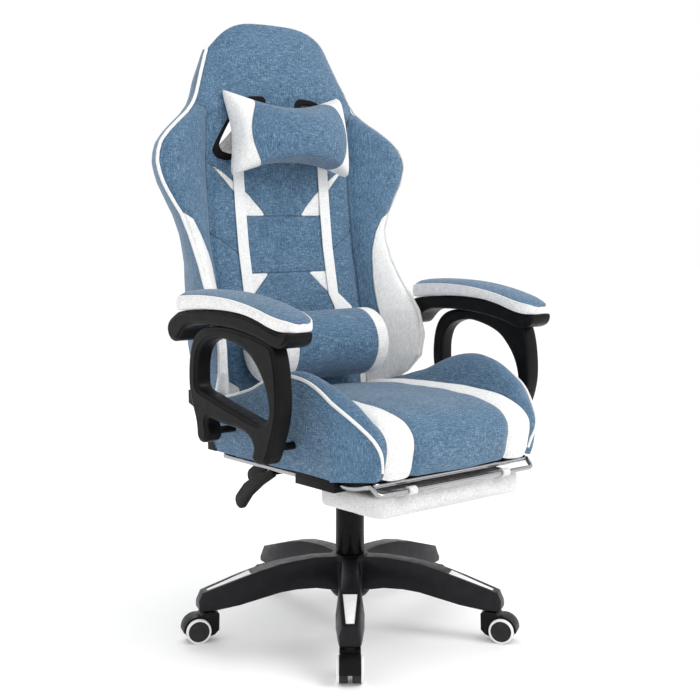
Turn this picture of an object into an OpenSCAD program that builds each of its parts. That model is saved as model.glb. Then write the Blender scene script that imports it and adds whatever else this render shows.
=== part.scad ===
// Gaming chair: star base on twin-wheel casters, gas lift, rocking mechanism, bucket seat,
// reclining wing back, loop armrests and a pull-out footrest that flips over.
// The chair faces -Y, +Z is up, +X is the sitter's left, and the origin is on the floor
// under the gas lift. Lengths are in millimetres.

/* [Base] */
// Distance from the centre of the base to the end of each leg
leg_reach = 316; // [300:1:340]
// Direction of the first leg, in degrees from +X
first_leg = -130; // [-180:1:180]
// Full width of a leg at its widest point
leg_width = 54; // [46:1:64]
// Radius of the hub around the gas cylinder
hub_r = 40; // [36:1:46]

/* [Casters] */
// Radius of a caster wheel
wheel_r = 25; // [20:1:26]
// Width of a caster over both wheels
caster_width = 50; // [44:1:56]
// Distance from the swivel stem to the wheel axle
caster_trail = 20; // [12:1:22]
// Radius of the swivel stem
stem_r = 5.5; // [4:0.5:7]

/* [Gas lift] */
// Radius of the gas cylinder
cylinder_r = 25; // [22:1:25]
// Radius of the sliding piston rod
piston_r = 14; // [11:1:15]
// Outer radius of the telescopic cover
cover_r = 29; // [28.5:0.5:32]

/* [Seat] */
// Half the width of the flat middle of the seat and back
middle_half = 184; // [170:1:190]
// Half the width over the seat bolsters
seat_half = 256; // [245:1:262]
// Height of the middle of the seat
seat_z = 490; // [470:1:505]
// Height of the crest of the seat bolsters
bolster_z = 556; // [530:1:570]
// Height of the underside of the seat
seat_bottom = 386; // [382:1:388]

/* [Back] */
// Height of the top of the back
back_top = 1233; // [1180:1:1260]
// Half the width over the shoulders of the back
shoulder_half = 320; // [290:1:335]
// Thickness of the rear cover
cover_t = 8; // [4:1:12]

/* [Armrests] */
// Distance from the middle of the seat to the outer face of an armrest
arm_outer = 335; // [325:1:345]
// Width of the armrest loop, across the chair
arm_thick = 34; // [24:1:40]
// Width of an arm pad
pad_w = 84; // [70:1:95]

/* [Footrest] */
// Half the distance between the sliding rails
rail_half = 214; // [205:1:225]
// Radius of the sliding rail
rail_r = 6; // [5:0.5:7]
// Half the width of the footrest pad
foot_half = 175; // [150:1:190]
// Height of the footrest pad
foot_h = 48; // [36:1:50]

/* [Hidden] */
$fn = 64;
legs = 5;
gap = 0.3;           // running gap between soft or moulded pieces
fit = 0.05;          // radial clearance of a shaft in its bore
caster_reach = leg_reach - 18;
leg_turn = 360 / legs;
hub_top = 152;
axle_r = 3;
stem_bottom = 48;
hood_half = 19.5;
hood_r = wheel_r + 4;
hood_in = wheel_r + 1.4;
tread = 4.6;
web_half = 3.2;
insert_tilt = 18.2;
insert_start = [210, 129.4];
cylinder_z = [64, 300];
lower_cover_z = [hub_top, 262];
upper_cover_z = [182, 327];
cover_wall = 1.4;
// rocking mechanism
rock_y = -55;
rock_z = 352;
rock_pin_r = 5;
housing_half = 62;
flange_in = 64;
flange_t = 4;
knob_y = -68;
lever_pivot = [-4, 343];
recline_pivot = [34, 352];
lever_rod_r = 4;
// seat
pan_t = 10;
foam_bottom = seat_bottom + pan_t;
bar_t = 11;
seat_rear = 104;
seat_front = -320;
plate_z = 368;
// recline hinge
hinge_y = 140;
hinge_z = 425;
hinge_pin_r = 6;
bracket_x = 240;
bracket_t = 6;
// footrest
rail_z = 360;
rail_rear = 130;
bar_y = -294;
bar_z = 367;
pivot_y = -312;
pivot_z = 352;
pivot_rod_r = 4.5;
foot_front = -302;
foot_rear = -121;
foot_top = 346;
sleeve_y = [-227, -115];
// armrest bolts, as [y, z]
arm_holes = [[31, 434], [-153, 427]];
arm_bolt_r = 4;
pad_x = 303;
// back upholstery: rear of the foam from the rear face, and height of the seam under the head
foam_rear = -30;
split_z = 944;

// ---- curves of the back, by height ----
// front face of the middle panel: [height, y]
face_y = [[436, 150], [600, 182], [768, 215], [850, 225], [950, 234], [1050, 229],
          [1100, 232], [1160, 242], [1205, 254], [back_top, 266]];
// rear face of the whole back: [height, y]
rear_y = [[436, 226], [600, 258], [850, 303], [1000, 316], [1120, 320], [back_top, 318]];
// half width at the piping: [height, x]
edge_x = [[452, 200], [476, 226], [496, 250], [532, 262], [577, 266], [629, 262], [677, 257],
          [740, 251], [800, 256], [840, 271], [880, shoulder_half - 24],
          [920, shoulder_half - 5], [950, shoulder_half], [980, shoulder_half - 12],
          [1000, shoulder_half - 32], [1020, 261], [1040, 231], [1062, 209]];
// depth of the piping: [height, y]
edge_y = [[452, 150], [476, 128], [496, 102], [532, 74], [577, 68], [629, 80], [677, 115],
          [700, 132], [740, 156], [780, 176], [840, 188], [880, 192], [960, 194],
          [1000, 202], [1040, 226], [1062, 236]];
// outline of the head section: [x, height], one half
head_half = [[209, 1062], [197, 1080], [189, 1100], [180, 1120], [171, 1140], [162, 1160],
             [152, 1180], [135, 1200], [104, 1220], [60, back_top - 2], [0, back_top]];
// corners of one harness slot: [x, height]
slot_shape = [[34, 1052], [44, 1074], [58, 1078], [96, 1072], [124, 1046], [164, 981],
              [164, 962], [150, 953], [118, 957], [46, 1024]];

// ---- helpers ----

// Solid through a list of rings that all have the same number of points.
module loft(rings) {
    n = len(rings[0]);
    last = (len(rings) - 1) * n;
    sides = [for (i = [0 : len(rings) - 2]) for (j = [0 : n - 1])
             let (a = i * n + j, b = i * n + (j + 1) % n) each [[a, a + n, b], [b, a + n, b + n]]];
    start = [for (j = [1 : n - 2]) [0, j, j + 1]];
    end = [for (j = [1 : n - 2]) [last, last + j + 1, last + j]];
    polyhedron(points = [for (r = rings) each r], faces = concat(sides, start, end));
}

// Extrudes a shape drawn as [y, z] across the chair, from x = x0 to x = x1.
module across(x0, x1) {
    translate([x0, 0, 0]) rotate([90, 0, 90]) linear_extrude(x1 - x0) children();
}

// Extrudes a shape drawn as [x, z] along the chair, from y = y0 to y = y1.
module along(y0, y1) {
    translate([0, y1, 0]) rotate([90, 0, 0]) linear_extrude(y1 - y0) children();
}

// Straight round rod between two points.
module rod(a, b, r) {
    d = b - a;
    turn = atan2(d[1], d[0]);
    tilt = atan2(norm([d[0], d[1]]), d[2]);
    translate(a) rotate([0, tilt, turn]) cylinder(h = norm(d), r = r);
}

function unit(v) = v / norm(v);

// Ring of a rod at point p: round across direction d, and cut by the plane square to t.
function mitre(p, d, t, ref, r, n) =
    let (u = unit(cross(ref, d)), w = cross(d, u))
    [for (j = [0 : n - 1]) let (a = 360 * j / n, o = r * (cos(a) * u + sin(a) * w)) p + o - d * (o * t) / (d * t)];

// Rod that follows a list of points, with mitred bends. The direction ref is never along it.
module bent_rod(points, r, ref, n = 24) {
    last = len(points) - 1;
    dirs = [for (i = [0 : last - 1]) unit(points[i + 1] - points[i])];
    loft([for (i = [0 : last])
          let (before = dirs[max(i - 1, 0)], after = dirs[min(i, last - 1)])
          mitre(points[i], i <= last / 2 ? before : after, before + after, ref, r, n)]);
}

// Shape repeated on both sides of the chair.
module both_sides() {
    children();
    mirror([1, 0, 0]) children();
}

// Rectangle with round corners, centred.
module rounded_plate(w, l, t, r) {
    linear_extrude(t) {
        square([w, l - 2 * r], center = true);
        square([w - 2 * r, l], center = true);
        for (x = [-1, 1], y = [-1, 1]) translate([x * (w / 2 - r), y * (l / 2 - r)]) circle(r = r);
    }
}

function leg_angle(k) = first_leg + (k - 1) * leg_turn;

module at_leg(k) {
    rotate([0, 0, leg_angle(k)]) children();
}

// ---- base ----

// Leg ring at distance r: underside, chamfer and top heights, full and top widths.
function leg_ring(r, under, side, top, w, t) =
    [[r, -w / 2, under], [r, w / 2, under], [r, w / 2, side], [r, t / 2, top],
     [r, -t / 2, top], [r, -w / 2, side]];

module leg() {
    loft([leg_ring(0, 84, 122, 148, 44, 30),
          leg_ring(48, 84, 124, 150, 44, 30),
          leg_ring(78, 90, 124, 151, 44, 30),
          leg_ring(118, 91, 123, 148, 44, 31),
          leg_ring(152, 88, 118, 144, 44, 33),
          leg_ring(196, 80, 109, 134, 49, 36),
          leg_ring(236, 72, 99, 122, leg_width, 37),
          leg_ring(280, 65, 89, 108, 46, 32),
          leg_ring(leg_reach - 8, 65, 82, 99, 41, 28),
          leg_ring(leg_reach, 66, 74, 82, 38, 26)]);
}

// Hollow under a leg, between the hub and the caster socket.
module leg_hollow() {
    across(-11, 11) polygon([[58, 60], [58, 128], [118, 130], [196, 112], [262, 90], [262, 50]]);
}

// Slot in the top of a leg that the insert drops into.
module insert_shape(grow) {
    polygon([[210 - grow, -14 - grow], [210 - grow, 14 + grow],
             [leg_reach - 14 + grow, 8 + grow], [leg_reach - 14 + grow, -8 - grow]]);
}

module insert_block(grow, t) {
    translate([insert_start[0], 0, insert_start[1]]) rotate([0, insert_tilt, 0])
        translate([-insert_start[0], 0, -t]) linear_extrude(t + (grow > 0 ? 12 : 0)) insert_shape(grow);
}

module star_base() {
    color([0.07, 0.07, 0.08])
    difference() {
        union() {
            rotate_extrude() polygon([[0, 66], [hub_r - 6, 66], [hub_r, 74], [hub_r, 136],
                                      [hub_r + 2, 142], [hub_r - 1, hub_top - 3],
                                      [hub_r - 5, hub_top], [0, hub_top]]);
            for (k = [1 : legs]) at_leg(k) leg();
        }
        translate([0, 0, 60]) cylinder(h = 100, r = cylinder_r);
        for (k = [1 : legs]) at_leg(k) {
            rotate([0, 0, -90]) leg_hollow();
            translate([caster_reach, 0, 60]) cylinder(h = 34, r = stem_r + fit);
            insert_block(0.2, 3);
        }
    }
}

module leg_inserts() {
    color([0.93, 0.93, 0.92])
    for (k = [1 : legs]) at_leg(k) insert_block(0, 2.8);
}

// ---- casters ----

// Places a shape drawn with the stem on the Z axis and the wheel axle along Y.
module at_caster(k) {
    at_leg(k) translate([caster_reach, 0, 0]) children();
}

module at_axle() {
    translate([caster_trail, 0, wheel_r]) rotate([90, 0, 0]) children();
}

module caster_hood(k) {
    color([0.06, 0.06, 0.07])
    at_caster(k) difference() {
        union() {
            rotate([90, 0, 0]) translate([0, 0, -hood_half]) linear_extrude(2 * hood_half) hood_shape();
            translate([0, 0, 40]) cylinder(h = 22.5, r = 13);
        }
        at_axle() translate([0, 0, web_half]) cylinder(h = 40, r = hood_in);
        at_axle() translate([0, 0, -web_half - 40]) cylinder(h = 40, r = hood_in);
        at_axle() translate([0, 0, -10]) cylinder(h = 20, r = axle_r);
        translate([0, 0, stem_bottom]) cylinder(h = 40, r = stem_r);
    }
}

// Side view of the hood with the stem at x = 0: an arc over the wheel, then the stem housing.
module hood_shape() {
    polygon(concat([for (a = [-4 : 8 : 100]) [caster_trail + hood_r * cos(a), wheel_r + hood_r * sin(a)]],
                   [[8, 60.5], [-15, 60.5], [-22, 56], [-21, 24], [-12, 15], [-2, 12], [caster_trail, 14]]));
}

module caster_pin(k) {
    color([0.6, 0.6, 0.62])
    at_caster(k) {
        at_axle() cylinder(h = caster_width - 6, r = axle_r, center = true);
        translate([0, 0, stem_bottom]) cylinder(h = 92 - stem_bottom, r = stem_r);
    }
}

module caster_wheel(k, s) {
    w = caster_width / 2 - web_half - 0.8;
    color([0.9, 0.9, 0.9])
    at_caster(k) at_axle() translate([0, 0, s * (web_half + 0.8 + w / 2)]) {
        difference() {
            cylinder(h = w, r = wheel_r, center = true);
            cylinder(h = w + 2, r = wheel_r - tread, center = true);
        }
        difference() {
            cylinder(h = w - 1.6, r = wheel_r - tread, center = true);
            cylinder(h = w + 2, r = axle_r + fit, center = true);
        }
    }
}

// ---- gas lift ----

module gas_cylinder() {
    color([0.1, 0.1, 0.11])
    difference() {
        translate([0, 0, cylinder_z[0]]) cylinder(h = cylinder_z[1] - cylinder_z[0], r = cylinder_r);
        translate([0, 0, cylinder_z[0] + 6]) cylinder(h = cylinder_z[1], r = piston_r + fit);
    }
}

module sleeve(span, r) {
    difference() {
        translate([0, 0, span[0]]) cylinder(h = span[1] - span[0], r = r);
        translate([0, 0, span[0] - 1]) cylinder(h = span[1] - span[0] + 2, r = r - cover_wall);
    }
}

module gas_cover_lower() {
    color([0.05, 0.05, 0.06]) sleeve(lower_cover_z, cover_r);
}

module gas_cover_upper() {
    color([0.05, 0.05, 0.06]) sleeve(upper_cover_z, cover_r - cover_wall - 0.5);
}

module gas_piston() {
    color([0.75, 0.75, 0.77]) translate([0, 0, 110]) cylinder(h = 239, r = piston_r);
}

// ---- rocking mechanism ----

module mechanism_housing() {
    color([0.12, 0.12, 0.13])
    difference() {
        across(-housing_half, housing_half)
            polygon([[-96, 330], [-96, 352], [-70, 363], [-44, 363], [74, 340], [74, 330]]);
        translate([0, 0, 320]) cylinder(h = 30, r = piston_r + fit);
        translate([0, knob_y, 320]) cylinder(h = 28, r = 6 + fit);
        rod([-100, rock_y, rock_z], [100, rock_y, rock_z], rock_pin_r);
        rod([-100, lever_pivot[0], lever_pivot[1]], [-40, lever_pivot[0], lever_pivot[1]], lever_rod_r + fit);
    }
}

module rocking_pin() {
    color([0.7, 0.7, 0.72])
    rod([-flange_in - flange_t - 5, rock_y, rock_z], [flange_in + flange_t + 5, rock_y, rock_z], rock_pin_r);
}

module tension_knob() {
    color([0.07, 0.07, 0.08])
    translate([0, knob_y, 0]) {
        translate([0, 0, 296]) cylinder(h = 26, r = 20);
        for (a = [0 : 45 : 315]) rotate([0, 0, a]) translate([20, 0, 297]) cylinder(h = 24, r = 5);
        translate([0, 0, 320]) cylinder(h = 26, r = 6);
    }
}

// Curved paddle drawn as [y, z] round bends, from x0 to x1.
module paddle(x0, x1, widths, points) {
    for (i = [0 : len(points) - 2]) hull()
        for (j = [i, i + 1]) rod([x0, points[j][0], points[j][1]], [x1, points[j][0], points[j][1]],
                                 widths[j], $fn = 32);
}

module height_lever() {
    color([0.09, 0.09, 0.1]) {
        rod([-202, lever_pivot[0], lever_pivot[1]], [-48, lever_pivot[0], lever_pivot[1]], lever_rod_r);
        paddle(-203, -193, [8, 12, 15, 16], [lever_pivot, [36, 324], [76, 298], [100, 272]]);
    }
}

module recline_lever() {
    color([0.09, 0.09, 0.1]) {
        rod([-189, recline_pivot[0], recline_pivot[1]], [-150, recline_pivot[0], recline_pivot[1]], lever_rod_r);
        paddle(-190, -180, [8, 13, 15], [recline_pivot, [52, 342], [76, 324]]);
    }
}

// ---- seat ----

module seat_plate() {
    color([0.15, 0.15, 0.16])
    difference() {
        union() {
            translate([0, -8, plate_z]) rounded_plate(2 * (flange_in + flange_t), 190, 6, 8);
            both_sides() across(flange_in, flange_in + flange_t)
                polygon([[-96, plate_z + 1], [-76, 340], [-38, 340], [-10, plate_z + 1]]);
        }
        rod([-100, rock_y, rock_z], [100, rock_y, rock_z], rock_pin_r + fit);
    }
}

module seat_frame() {
    z = plate_z + 6;
    h = seat_bottom - z;
    color([0.13, 0.13, 0.14]) {
        both_sides() translate([58, -260, z]) cube([24, seat_rear + 42 + 260, h]);
        translate([-232, -186, z]) cube([464, 28, h]);
        translate([-246, 118, z]) cube([492, 28, h]);
        both_sides() difference() {
            across(158, 168) polygon([[18, z + 1], [50, z + 1], [44, 343], [24, 343]]);
            rod([100, recline_pivot[0], recline_pivot[1]], [180, recline_pivot[0], recline_pivot[1]], lever_rod_r + fit);
        }
        both_sides() translate([82, 14, z]) cube([86, 40, h]);
    }
}

module seat_pan() {
    color([0.06, 0.06, 0.06])
    translate([0, (seat_rear + seat_front) / 2 + 6, seat_bottom])
        rounded_plate(2 * seat_half - 44, seat_rear - seat_front - 44, pan_t, 50);
}

// Side view of the middle of the seat.
function seat_side(rise, front, drop) =
    [[seat_rear, foam_bottom], [seat_rear, seat_z - 14], [54, seat_z - 5 + rise * 0.15],
     [0, seat_z + 1 + rise * 0.35], [-50, seat_z + 3 + rise * 0.75], [-109, seat_z + 4 + rise],
     [-170, seat_z + 4 + rise], [-222 + front * 0.3, seat_z + 1 + rise * 0.8],
     [-262 + front * 0.5, seat_z - 5 + rise * 0.5], [-296 + front * 0.75, seat_z - 17 + rise * 0.15],
     [seat_front + 2 + front, seat_z - 38], [seat_front - 2 + front, seat_z - 60],
     [seat_front + 2 + front, seat_z - 76], [seat_front + 12 + front, foam_bottom + drop]];

module seat_cushion() {
    color([0.27, 0.42, 0.58])
    across(-middle_half + gap, middle_half - gap) polygon(seat_side(0, 0, 0));
}

// One ring of a bolster, at distance x from the middle.
function bolster_ring(x, rise, front, drop) = [for (p = seat_side(rise, front, drop)) [x, p[0], p[1]]];

module seat_bolster() {
    crest = bolster_z - seat_z - 4;
    loft([bolster_ring(middle_half, 0, 0, 0),
          bolster_ring(middle_half + 16, crest * 0.55, 8, 0),
          bolster_ring(middle_half + 32, crest * 0.9, 20, 0),
          bolster_ring(middle_half + 48, crest, 34, 0),
          bolster_ring(middle_half + 62, crest * 0.9, 46, 0),
          bolster_ring(seat_half, crest * 0.55, 54, 0)]);
}

// Bolster with the holes that the armrest bolts run into.
module bored_bolster() {
    difference() {
        seat_bolster();
        for (p = arm_holes) rod([seat_half - 26, p[0], p[1]], [seat_half + 20, p[0], p[1]], arm_bolt_r);
    }
}

module seat_bolster_left() {
    color([0.25, 0.4, 0.56]) bored_bolster();
}

module seat_bolster_right() {
    color([0.25, 0.4, 0.56]) mirror([1, 0, 0]) bored_bolster();
}

// ---- recline hinge ----

// Fixed half of the recline hinge, with its pin.
module recliner() {
    across(bracket_x, bracket_x + bracket_t)
        polygon([[110, seat_bottom], [146, seat_bottom], [164, 404], [166, 430], [154, 446], [128, 446], [112, 426]]);
    rod([bracket_x - bracket_t - 2, hinge_y, hinge_z], [bracket_x + 1, hinge_y, hinge_z], hinge_pin_r);
    rod([bracket_x + 1, hinge_y, hinge_z], [bracket_x + bracket_t + 4, hinge_y, hinge_z], 11);
}

module recliner_left() {
    color([0.16, 0.16, 0.17]) recliner();
}

module recliner_right() {
    color([0.16, 0.16, 0.17]) mirror([1, 0, 0]) recliner();
}

// ---- armrests ----

// Side view of the beam under the arm pad, with its rear lobe.
beam_shape = [[101, 656], [49, 661], [-9, 664], [-65, 664], [-115, 660], [-155, 652],
              [-186, 643], [-212, 637], [-234, 637], [-233, 622], [-222, 613], [-206, 609],
              [-187, 611], [-160, 619], [-128, 626], [-87, 632], [-46, 635], [-2, 636],
              [42, 634], [65, 631], [84, 624], [98, 612], [110, 601], [122, 597], [134, 599],
              [143, 606], [148, 618], [146, 629], [137, 639], [118, 650]];

// Side view of the loop, with its two lower lobes.
loop_shape = [[-128, 628], [-60, 636], [0, 634], [30, 628], [52, 614], [66, 592], [73, 564],
              [75, 533], [72, 506], [64, 482], [54, 458], [50, 440], [48, 424], [38, 415],
              [26, 415], [15, 422], [11, 436], [16, 452], [10, 462], [-10, 461], [-34, 458],
              [-63, 457], [-92, 454], [-114, 447], [-128, 436], [-131, 424], [-126, 410],
              [-136, 401], [-158, 401], [-172, 407], [-186, 436], [-198, 466], [-205, 494],
              [-207, 520], [-205, 552], [-200, 582], [-192, 606], [-180, 616]];

// Opening inside the loop.
loop_hole = [[46, 530], [45, 560], [36, 586], [18, 602], [-8, 611], [-37, 614], [-66, 610],
             [-99, 601], [-124, 589], [-143, 572], [-159, 552], [-170, 530], [-176, 507],
             [-176, 490], [-168, 479], [-154, 474], [-122, 477], [-81, 486], [-38, 495],
             [2, 505], [34, 512], [44, 519]];

module arm_frame() {
    inner = arm_outer - arm_thick;
    difference() {
        union() {
            across(inner, arm_outer) difference() {
                polygon(loop_shape);
                polygon(loop_hole);
            }
            across(arm_outer - 56, arm_outer) polygon(beam_shape);
            for (p = arm_holes) rod([seat_half + 4, p[0], p[1]], [inner + 1, p[0], p[1]], 14);
        }
        for (p = arm_holes) {
            rod([seat_half, p[0], p[1]], [arm_outer + 1, p[0], p[1]], arm_bolt_r);
            rod([arm_outer - 12, p[0], p[1]], [arm_outer + 1, p[0], p[1]], 8);
        }
        rod([arm_outer - 14, 130, 618], [arm_outer + 1, 130, 618], 8);
        // hollow behind the outer face of the beam
        across(arm_outer - 57, arm_outer - 40)
            polygon([[84, 640], [40, 649], [-9, 652], [-65, 652], [-115, 648], [-155, 640], [-190, 630],
                     [-190, 600], [90, 600]]);
    }
}

module arm_frame_left() {
    color([0.06, 0.06, 0.07]) arm_frame();
}

module arm_frame_right() {
    color([0.06, 0.06, 0.07]) mirror([1, 0, 0]) arm_frame();
}

// Side view of an arm pad.
pad_shape = [[101, 657], [49, 662], [-9, 665], [-65, 665], [-115, 661], [-155, 653], [-186, 644],
             [-212, 638], [-234, 638], [-241, 648], [-240, 660], [-228, 668], [-206, 672],
             [-180, 679], [-140, 688], [-87, 696], [-31, 700], [30, 700], [88, 696], [101, 686]];

// Plan of an arm pad, narrowing a little to a round front end.
module pad_plan() {
    h = pad_w / 2;
    polygon([[-h + 4, 101], [h - 4, 101], [h, 88], [h, -190], [h - 5, -212], [h - 16, -229],
             [h - 32, -240], [32 - h, -240], [16 - h, -229], [5 - h, -212], [-h, -190], [-h, 88]]);
}

module arm_pad() {
    intersection() {
        across(pad_x - pad_w, pad_x + pad_w) polygon(pad_shape);
        translate([pad_x, 0, 600]) linear_extrude(140) pad_plan();
    }
}

module arm_pad_left() {
    color([0.32, 0.46, 0.6]) arm_pad();
}

module arm_pad_right() {
    color([0.32, 0.46, 0.6]) mirror([1, 0, 0]) arm_pad();
}

module arm_bolts() {
    color([0.3, 0.3, 0.31])
    both_sides() for (p = arm_holes) {
        rod([seat_half - 25, p[0], p[1]], [arm_outer - 11, p[0], p[1]], arm_bolt_r);
        rod([arm_outer - 12, p[0], p[1]], [arm_outer - 7, p[0], p[1]], 7);
    }
}

// ---- footrest ----

module footrest_guides() {
    color([0.09, 0.09, 0.1])
    both_sides() difference() {
        translate([rail_half - 14, sleeve_y[0], 347]) cube([28, sleeve_y[1] - sleeve_y[0], plate_z + 6 - 347]);
        rod([rail_half, sleeve_y[0] - 5, rail_z], [rail_half, sleeve_y[1] + 5, rail_z], rail_r + fit);
    }
}

module footrest_rail() {
    corner = [rail_half, -262, rail_z];
    bend = [rail_half - 14, bar_y, bar_z];
    foot = [bend[0] - 3, pivot_y, pivot_z];
    color([0.8, 0.8, 0.82]) {
        bent_rod([[-rail_half, rail_rear, rail_z], [-corner[0], corner[1], corner[2]],
                  [-bend[0], bend[1], bend[2]], bend, corner, [rail_half, rail_rear, rail_z]], rail_r, [0, 0, 1]);
        bent_rod([[-bend[0], bend[1], bend[2]], [-foot[0], foot[1], foot[2]], foot, bend], pivot_rod_r,
                 [0, 0.6, -0.7]);
    }
}

// Board that closes the footrest pad, with two loops round the pivot rod.
module footrest_board() {
    color([0.08, 0.08, 0.09])
    difference() {
        union() {
            translate([0, (foot_front + foot_rear) / 2, foot_top - 6])
                rounded_plate(2 * foot_half - 20, foot_rear - foot_front - 14, 6, 14);
            for (x = [-120, 120]) translate([x, 0, 0]) {
                rod([-18, pivot_y, pivot_z], [18, pivot_y, pivot_z], 8);
                across(-18, 18) polygon([[pivot_y, pivot_z - 8], [pivot_y, pivot_z + 4],
                                         [foot_front + 40, foot_top], [foot_front + 40, foot_top - 2],
                                         [foot_front + 8, foot_top - 3]]);
            }
        }
        rod([-200, pivot_y, pivot_z], [200, pivot_y, pivot_z], pivot_rod_r + fit);
    }
}

module footrest_cushion() {
    color([0.9, 0.9, 0.89])
    difference() {
        translate([0, (foot_front + foot_rear) / 2, foot_top - foot_h])
            rounded_plate(2 * foot_half, foot_rear - foot_front, foot_h - 1, 22);
        translate([0, (foot_front + foot_rear) / 2, foot_top - 6])
            rounded_plate(2 * foot_half - 19.4, foot_rear - foot_front - 13.4, 20, 14.3);
        for (x = [-120, 120]) translate([x, 0, 0])
            across(-19, 19) polygon([[pivot_y - 10, pivot_z - 20], [foot_front + 9, pivot_z - 20],
                                     [foot_front + 9, foot_top + 5], [pivot_y - 10, foot_top + 5]]);
    }
}

// ---- back ----

function at_z(table, z) = lookup(z, table);

// Side view of a layer of the back, between z0 and z1: front edge, then rear edge.
function layer(z0, z1, front_shift, rear_shift, from_rear) =
    let (zs = concat([z0], [for (p = face_y) if (p[0] > z0 + 4 && p[0] < z1 - 4) p[0]], [z1]))
    concat([for (z = zs) [from_rear ? at_z(rear_y, z) + front_shift : at_z(face_y, z) + front_shift, z]],
           [for (i = [len(zs) - 1 : -1 : 0]) [at_z(rear_y, zs[i]) + rear_shift, zs[i]]]);

module slot_outline() {
    polygon(slot_shape);
}

module both_slots(y0, y1) {
    both_sides() along(y0, y1) slot_outline();
}

module back_cushion() {
    color([0.26, 0.41, 0.57])
    across(-middle_half + gap, middle_half - gap) polygon(layer(436, split_z, 0, foam_rear, false));
}

// Front view of the head section.
module head_outline(inset) {
    half = [for (p = head_half) [max(p[0] - inset, 0), p[1] - (p[1] > 1150 ? inset : 0)]];
    polygon(concat([[-middle_half + gap, split_z + gap], [middle_half - gap, split_z + gap],
                    [middle_half - gap, 1062]], half, [for (i = [len(half) - 2 : -1 : 0]) [-half[i][0], half[i][1]]],
                   [[-middle_half + gap, 1062]]));
}

module head_cushion() {
    color([0.26, 0.41, 0.57])
    difference() {
        intersection() {
            across(-250, 250) polygon(layer(split_z + gap, back_top, 0, foam_rear, false));
            along(100, 400) head_outline(0);
        }
        both_slots(100, 400);
    }
}

// One ring of a wing, at height z.
function wing_ring(z) =
    let (x = at_z(edge_x, z), y = at_z(edge_y, z), f = at_z(face_y, z), b = at_z(rear_y, z) + foam_rear,
         m = middle_half, w = x - m)
    [[m, f, z], [m + w * 0.4, f + (y - f) * 0.42, z], [m + w * 0.8, f + (y - f) * 0.9, z],
     [x - 4, y, z], [x, y + 8, z], [x - w * 0.16, y + (b - y) * 0.6, z], [m + w * 0.5, b, z], [m, b, z]];

module back_wing() {
    loft([for (z = [455, 476, 496, 514, 532, 555, 577, 603, 629, 653, 677, 710, 740, 770, 800, 820,
                    840, 860, 880, 900, 920, 935, 950, 965, 980, 1000, 1020, 1040, 1061]) wing_ring(z)]);
}

module back_wing_left() {
    color([0.3, 0.45, 0.6]) back_wing();
}

module back_wing_right() {
    color([0.3, 0.45, 0.6]) mirror([1, 0, 0]) back_wing();
}

// Tube frame of the back, with the moving halves of the recline hinge at its foot.
module back_frame() {
    tube = 8.5;
    mid = -19;
    side = 176;
    foot_z = 470;
    half = [for (z = [foot_z - 14, 850, 1000]) [side, at_z(rear_y, z) + mid, z]];
    top = [[136, at_z(rear_y, 1110) + mid, 1110]];
    loop = concat(half, top);
    other = [for (i = [len(loop) - 1 : -1 : 0]) [-loop[i][0], loop[i][1], loop[i][2]]];
    color([0.1, 0.1, 0.11]) {
        bent_rod(concat(loop, other), tube, [0, 1, 0]);
        for (z = [500, 900]) cross_bar(side, at_z(rear_y, z) + mid, z, tube - 1);
        both_sides() hinge_plate();
        cross_bar(bracket_x - 1, at_z(rear_y, foot_z) + mid, foot_z, tube - 1.5);
    }
}

// Straight bar across the chair, from -x to x.
module cross_bar(x, y, z, r) {
    bent_rod([[-x, y, z], [0, y, z], [x, y, z]], r, [0, 0, 1]);
}

module hinge_plate() {
    difference() {
        across(bracket_x - gap - bracket_t, bracket_x - gap)
            polygon([[128, 414], [152, 414], [166, 436], [224, 458], [224, 484], [200, 486], [158, 448], [136, 444]]);
        rod([200, hinge_y, hinge_z], [260, hinge_y, hinge_z], hinge_pin_r + fit);
    }
}

module back_cover() {
    color([0.2, 0.33, 0.47])
    difference() {
        union() {
            intersection() {
                across(-260, 260) polygon(layer(split_z, back_top - 12, -cover_t, 0, true));
                along(100, 400) head_outline(14);
            }
            intersection() {
                across(-260, 260) polygon(layer(470, split_z + 1, -cover_t, 0, true));
                along(100, 400) polygon(concat(
                    [for (z = [470, 500, 600, 700, 800, 860, 920, split_z + 1]) [at_z(edge_x, z) * 0.8, z]],
                    [for (z = [split_z + 1, 920, 860, 800, 700, 600, 500, 470]) [-at_z(edge_x, z) * 0.8, z]]));
            }
        }
        both_slots(100, 400);
    }
}

// Rings that line the harness slots.
module harness_trims() {
    color([0.04, 0.04, 0.04])
    both_sides() intersection() {
        difference() {
            along(190, 340) slot_outline();
            along(180, 350) translate([98, 1018]) scale(0.84) translate([-98, -1018]) slot_outline();
        }
        across(0, 260) polygon(layer(split_z + 6, 1090, -3, 3, false));
    }
}

module head_pillow() {
    face = 226;
    color([0.3, 0.44, 0.58])
    loft([pillow_ring(-150, face - 18, 10, 84, 86), pillow_ring(-132, face - 32, 26, 76, 74),
          pillow_ring(-90, face - 44, 40, 62, 60), pillow_ring(0, face - 50, 46, 52, 52),
          pillow_ring(90, face - 44, 40, 62, 60), pillow_ring(132, face - 32, 26, 76, 74),
          pillow_ring(150, face - 18, 10, 84, 86)]);
}

// Oval ring of the head pillow at x, around depth y, half thickness t, up and down heights.
function pillow_ring(x, y, t, up, down) =
    [for (i = [0 : 11]) let (a = i * 30, s = sin(a))
     [x, y + min(t * cos(a), 224 - y), 1003 + (s > 0 ? up : down) * s]];

module lumbar_pillow() {
    color([0.3, 0.44, 0.58])
    translate([0, 100.5, 571]) rotate([0, 90, 0]) {
        translate([0, 0, -128]) cylinder(h = 256, r = 70);
        for (s = [-1, 1]) translate([0, 0, s * 136]) cylinder(h = 16, r = 62, center = true);
    }
}

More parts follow.
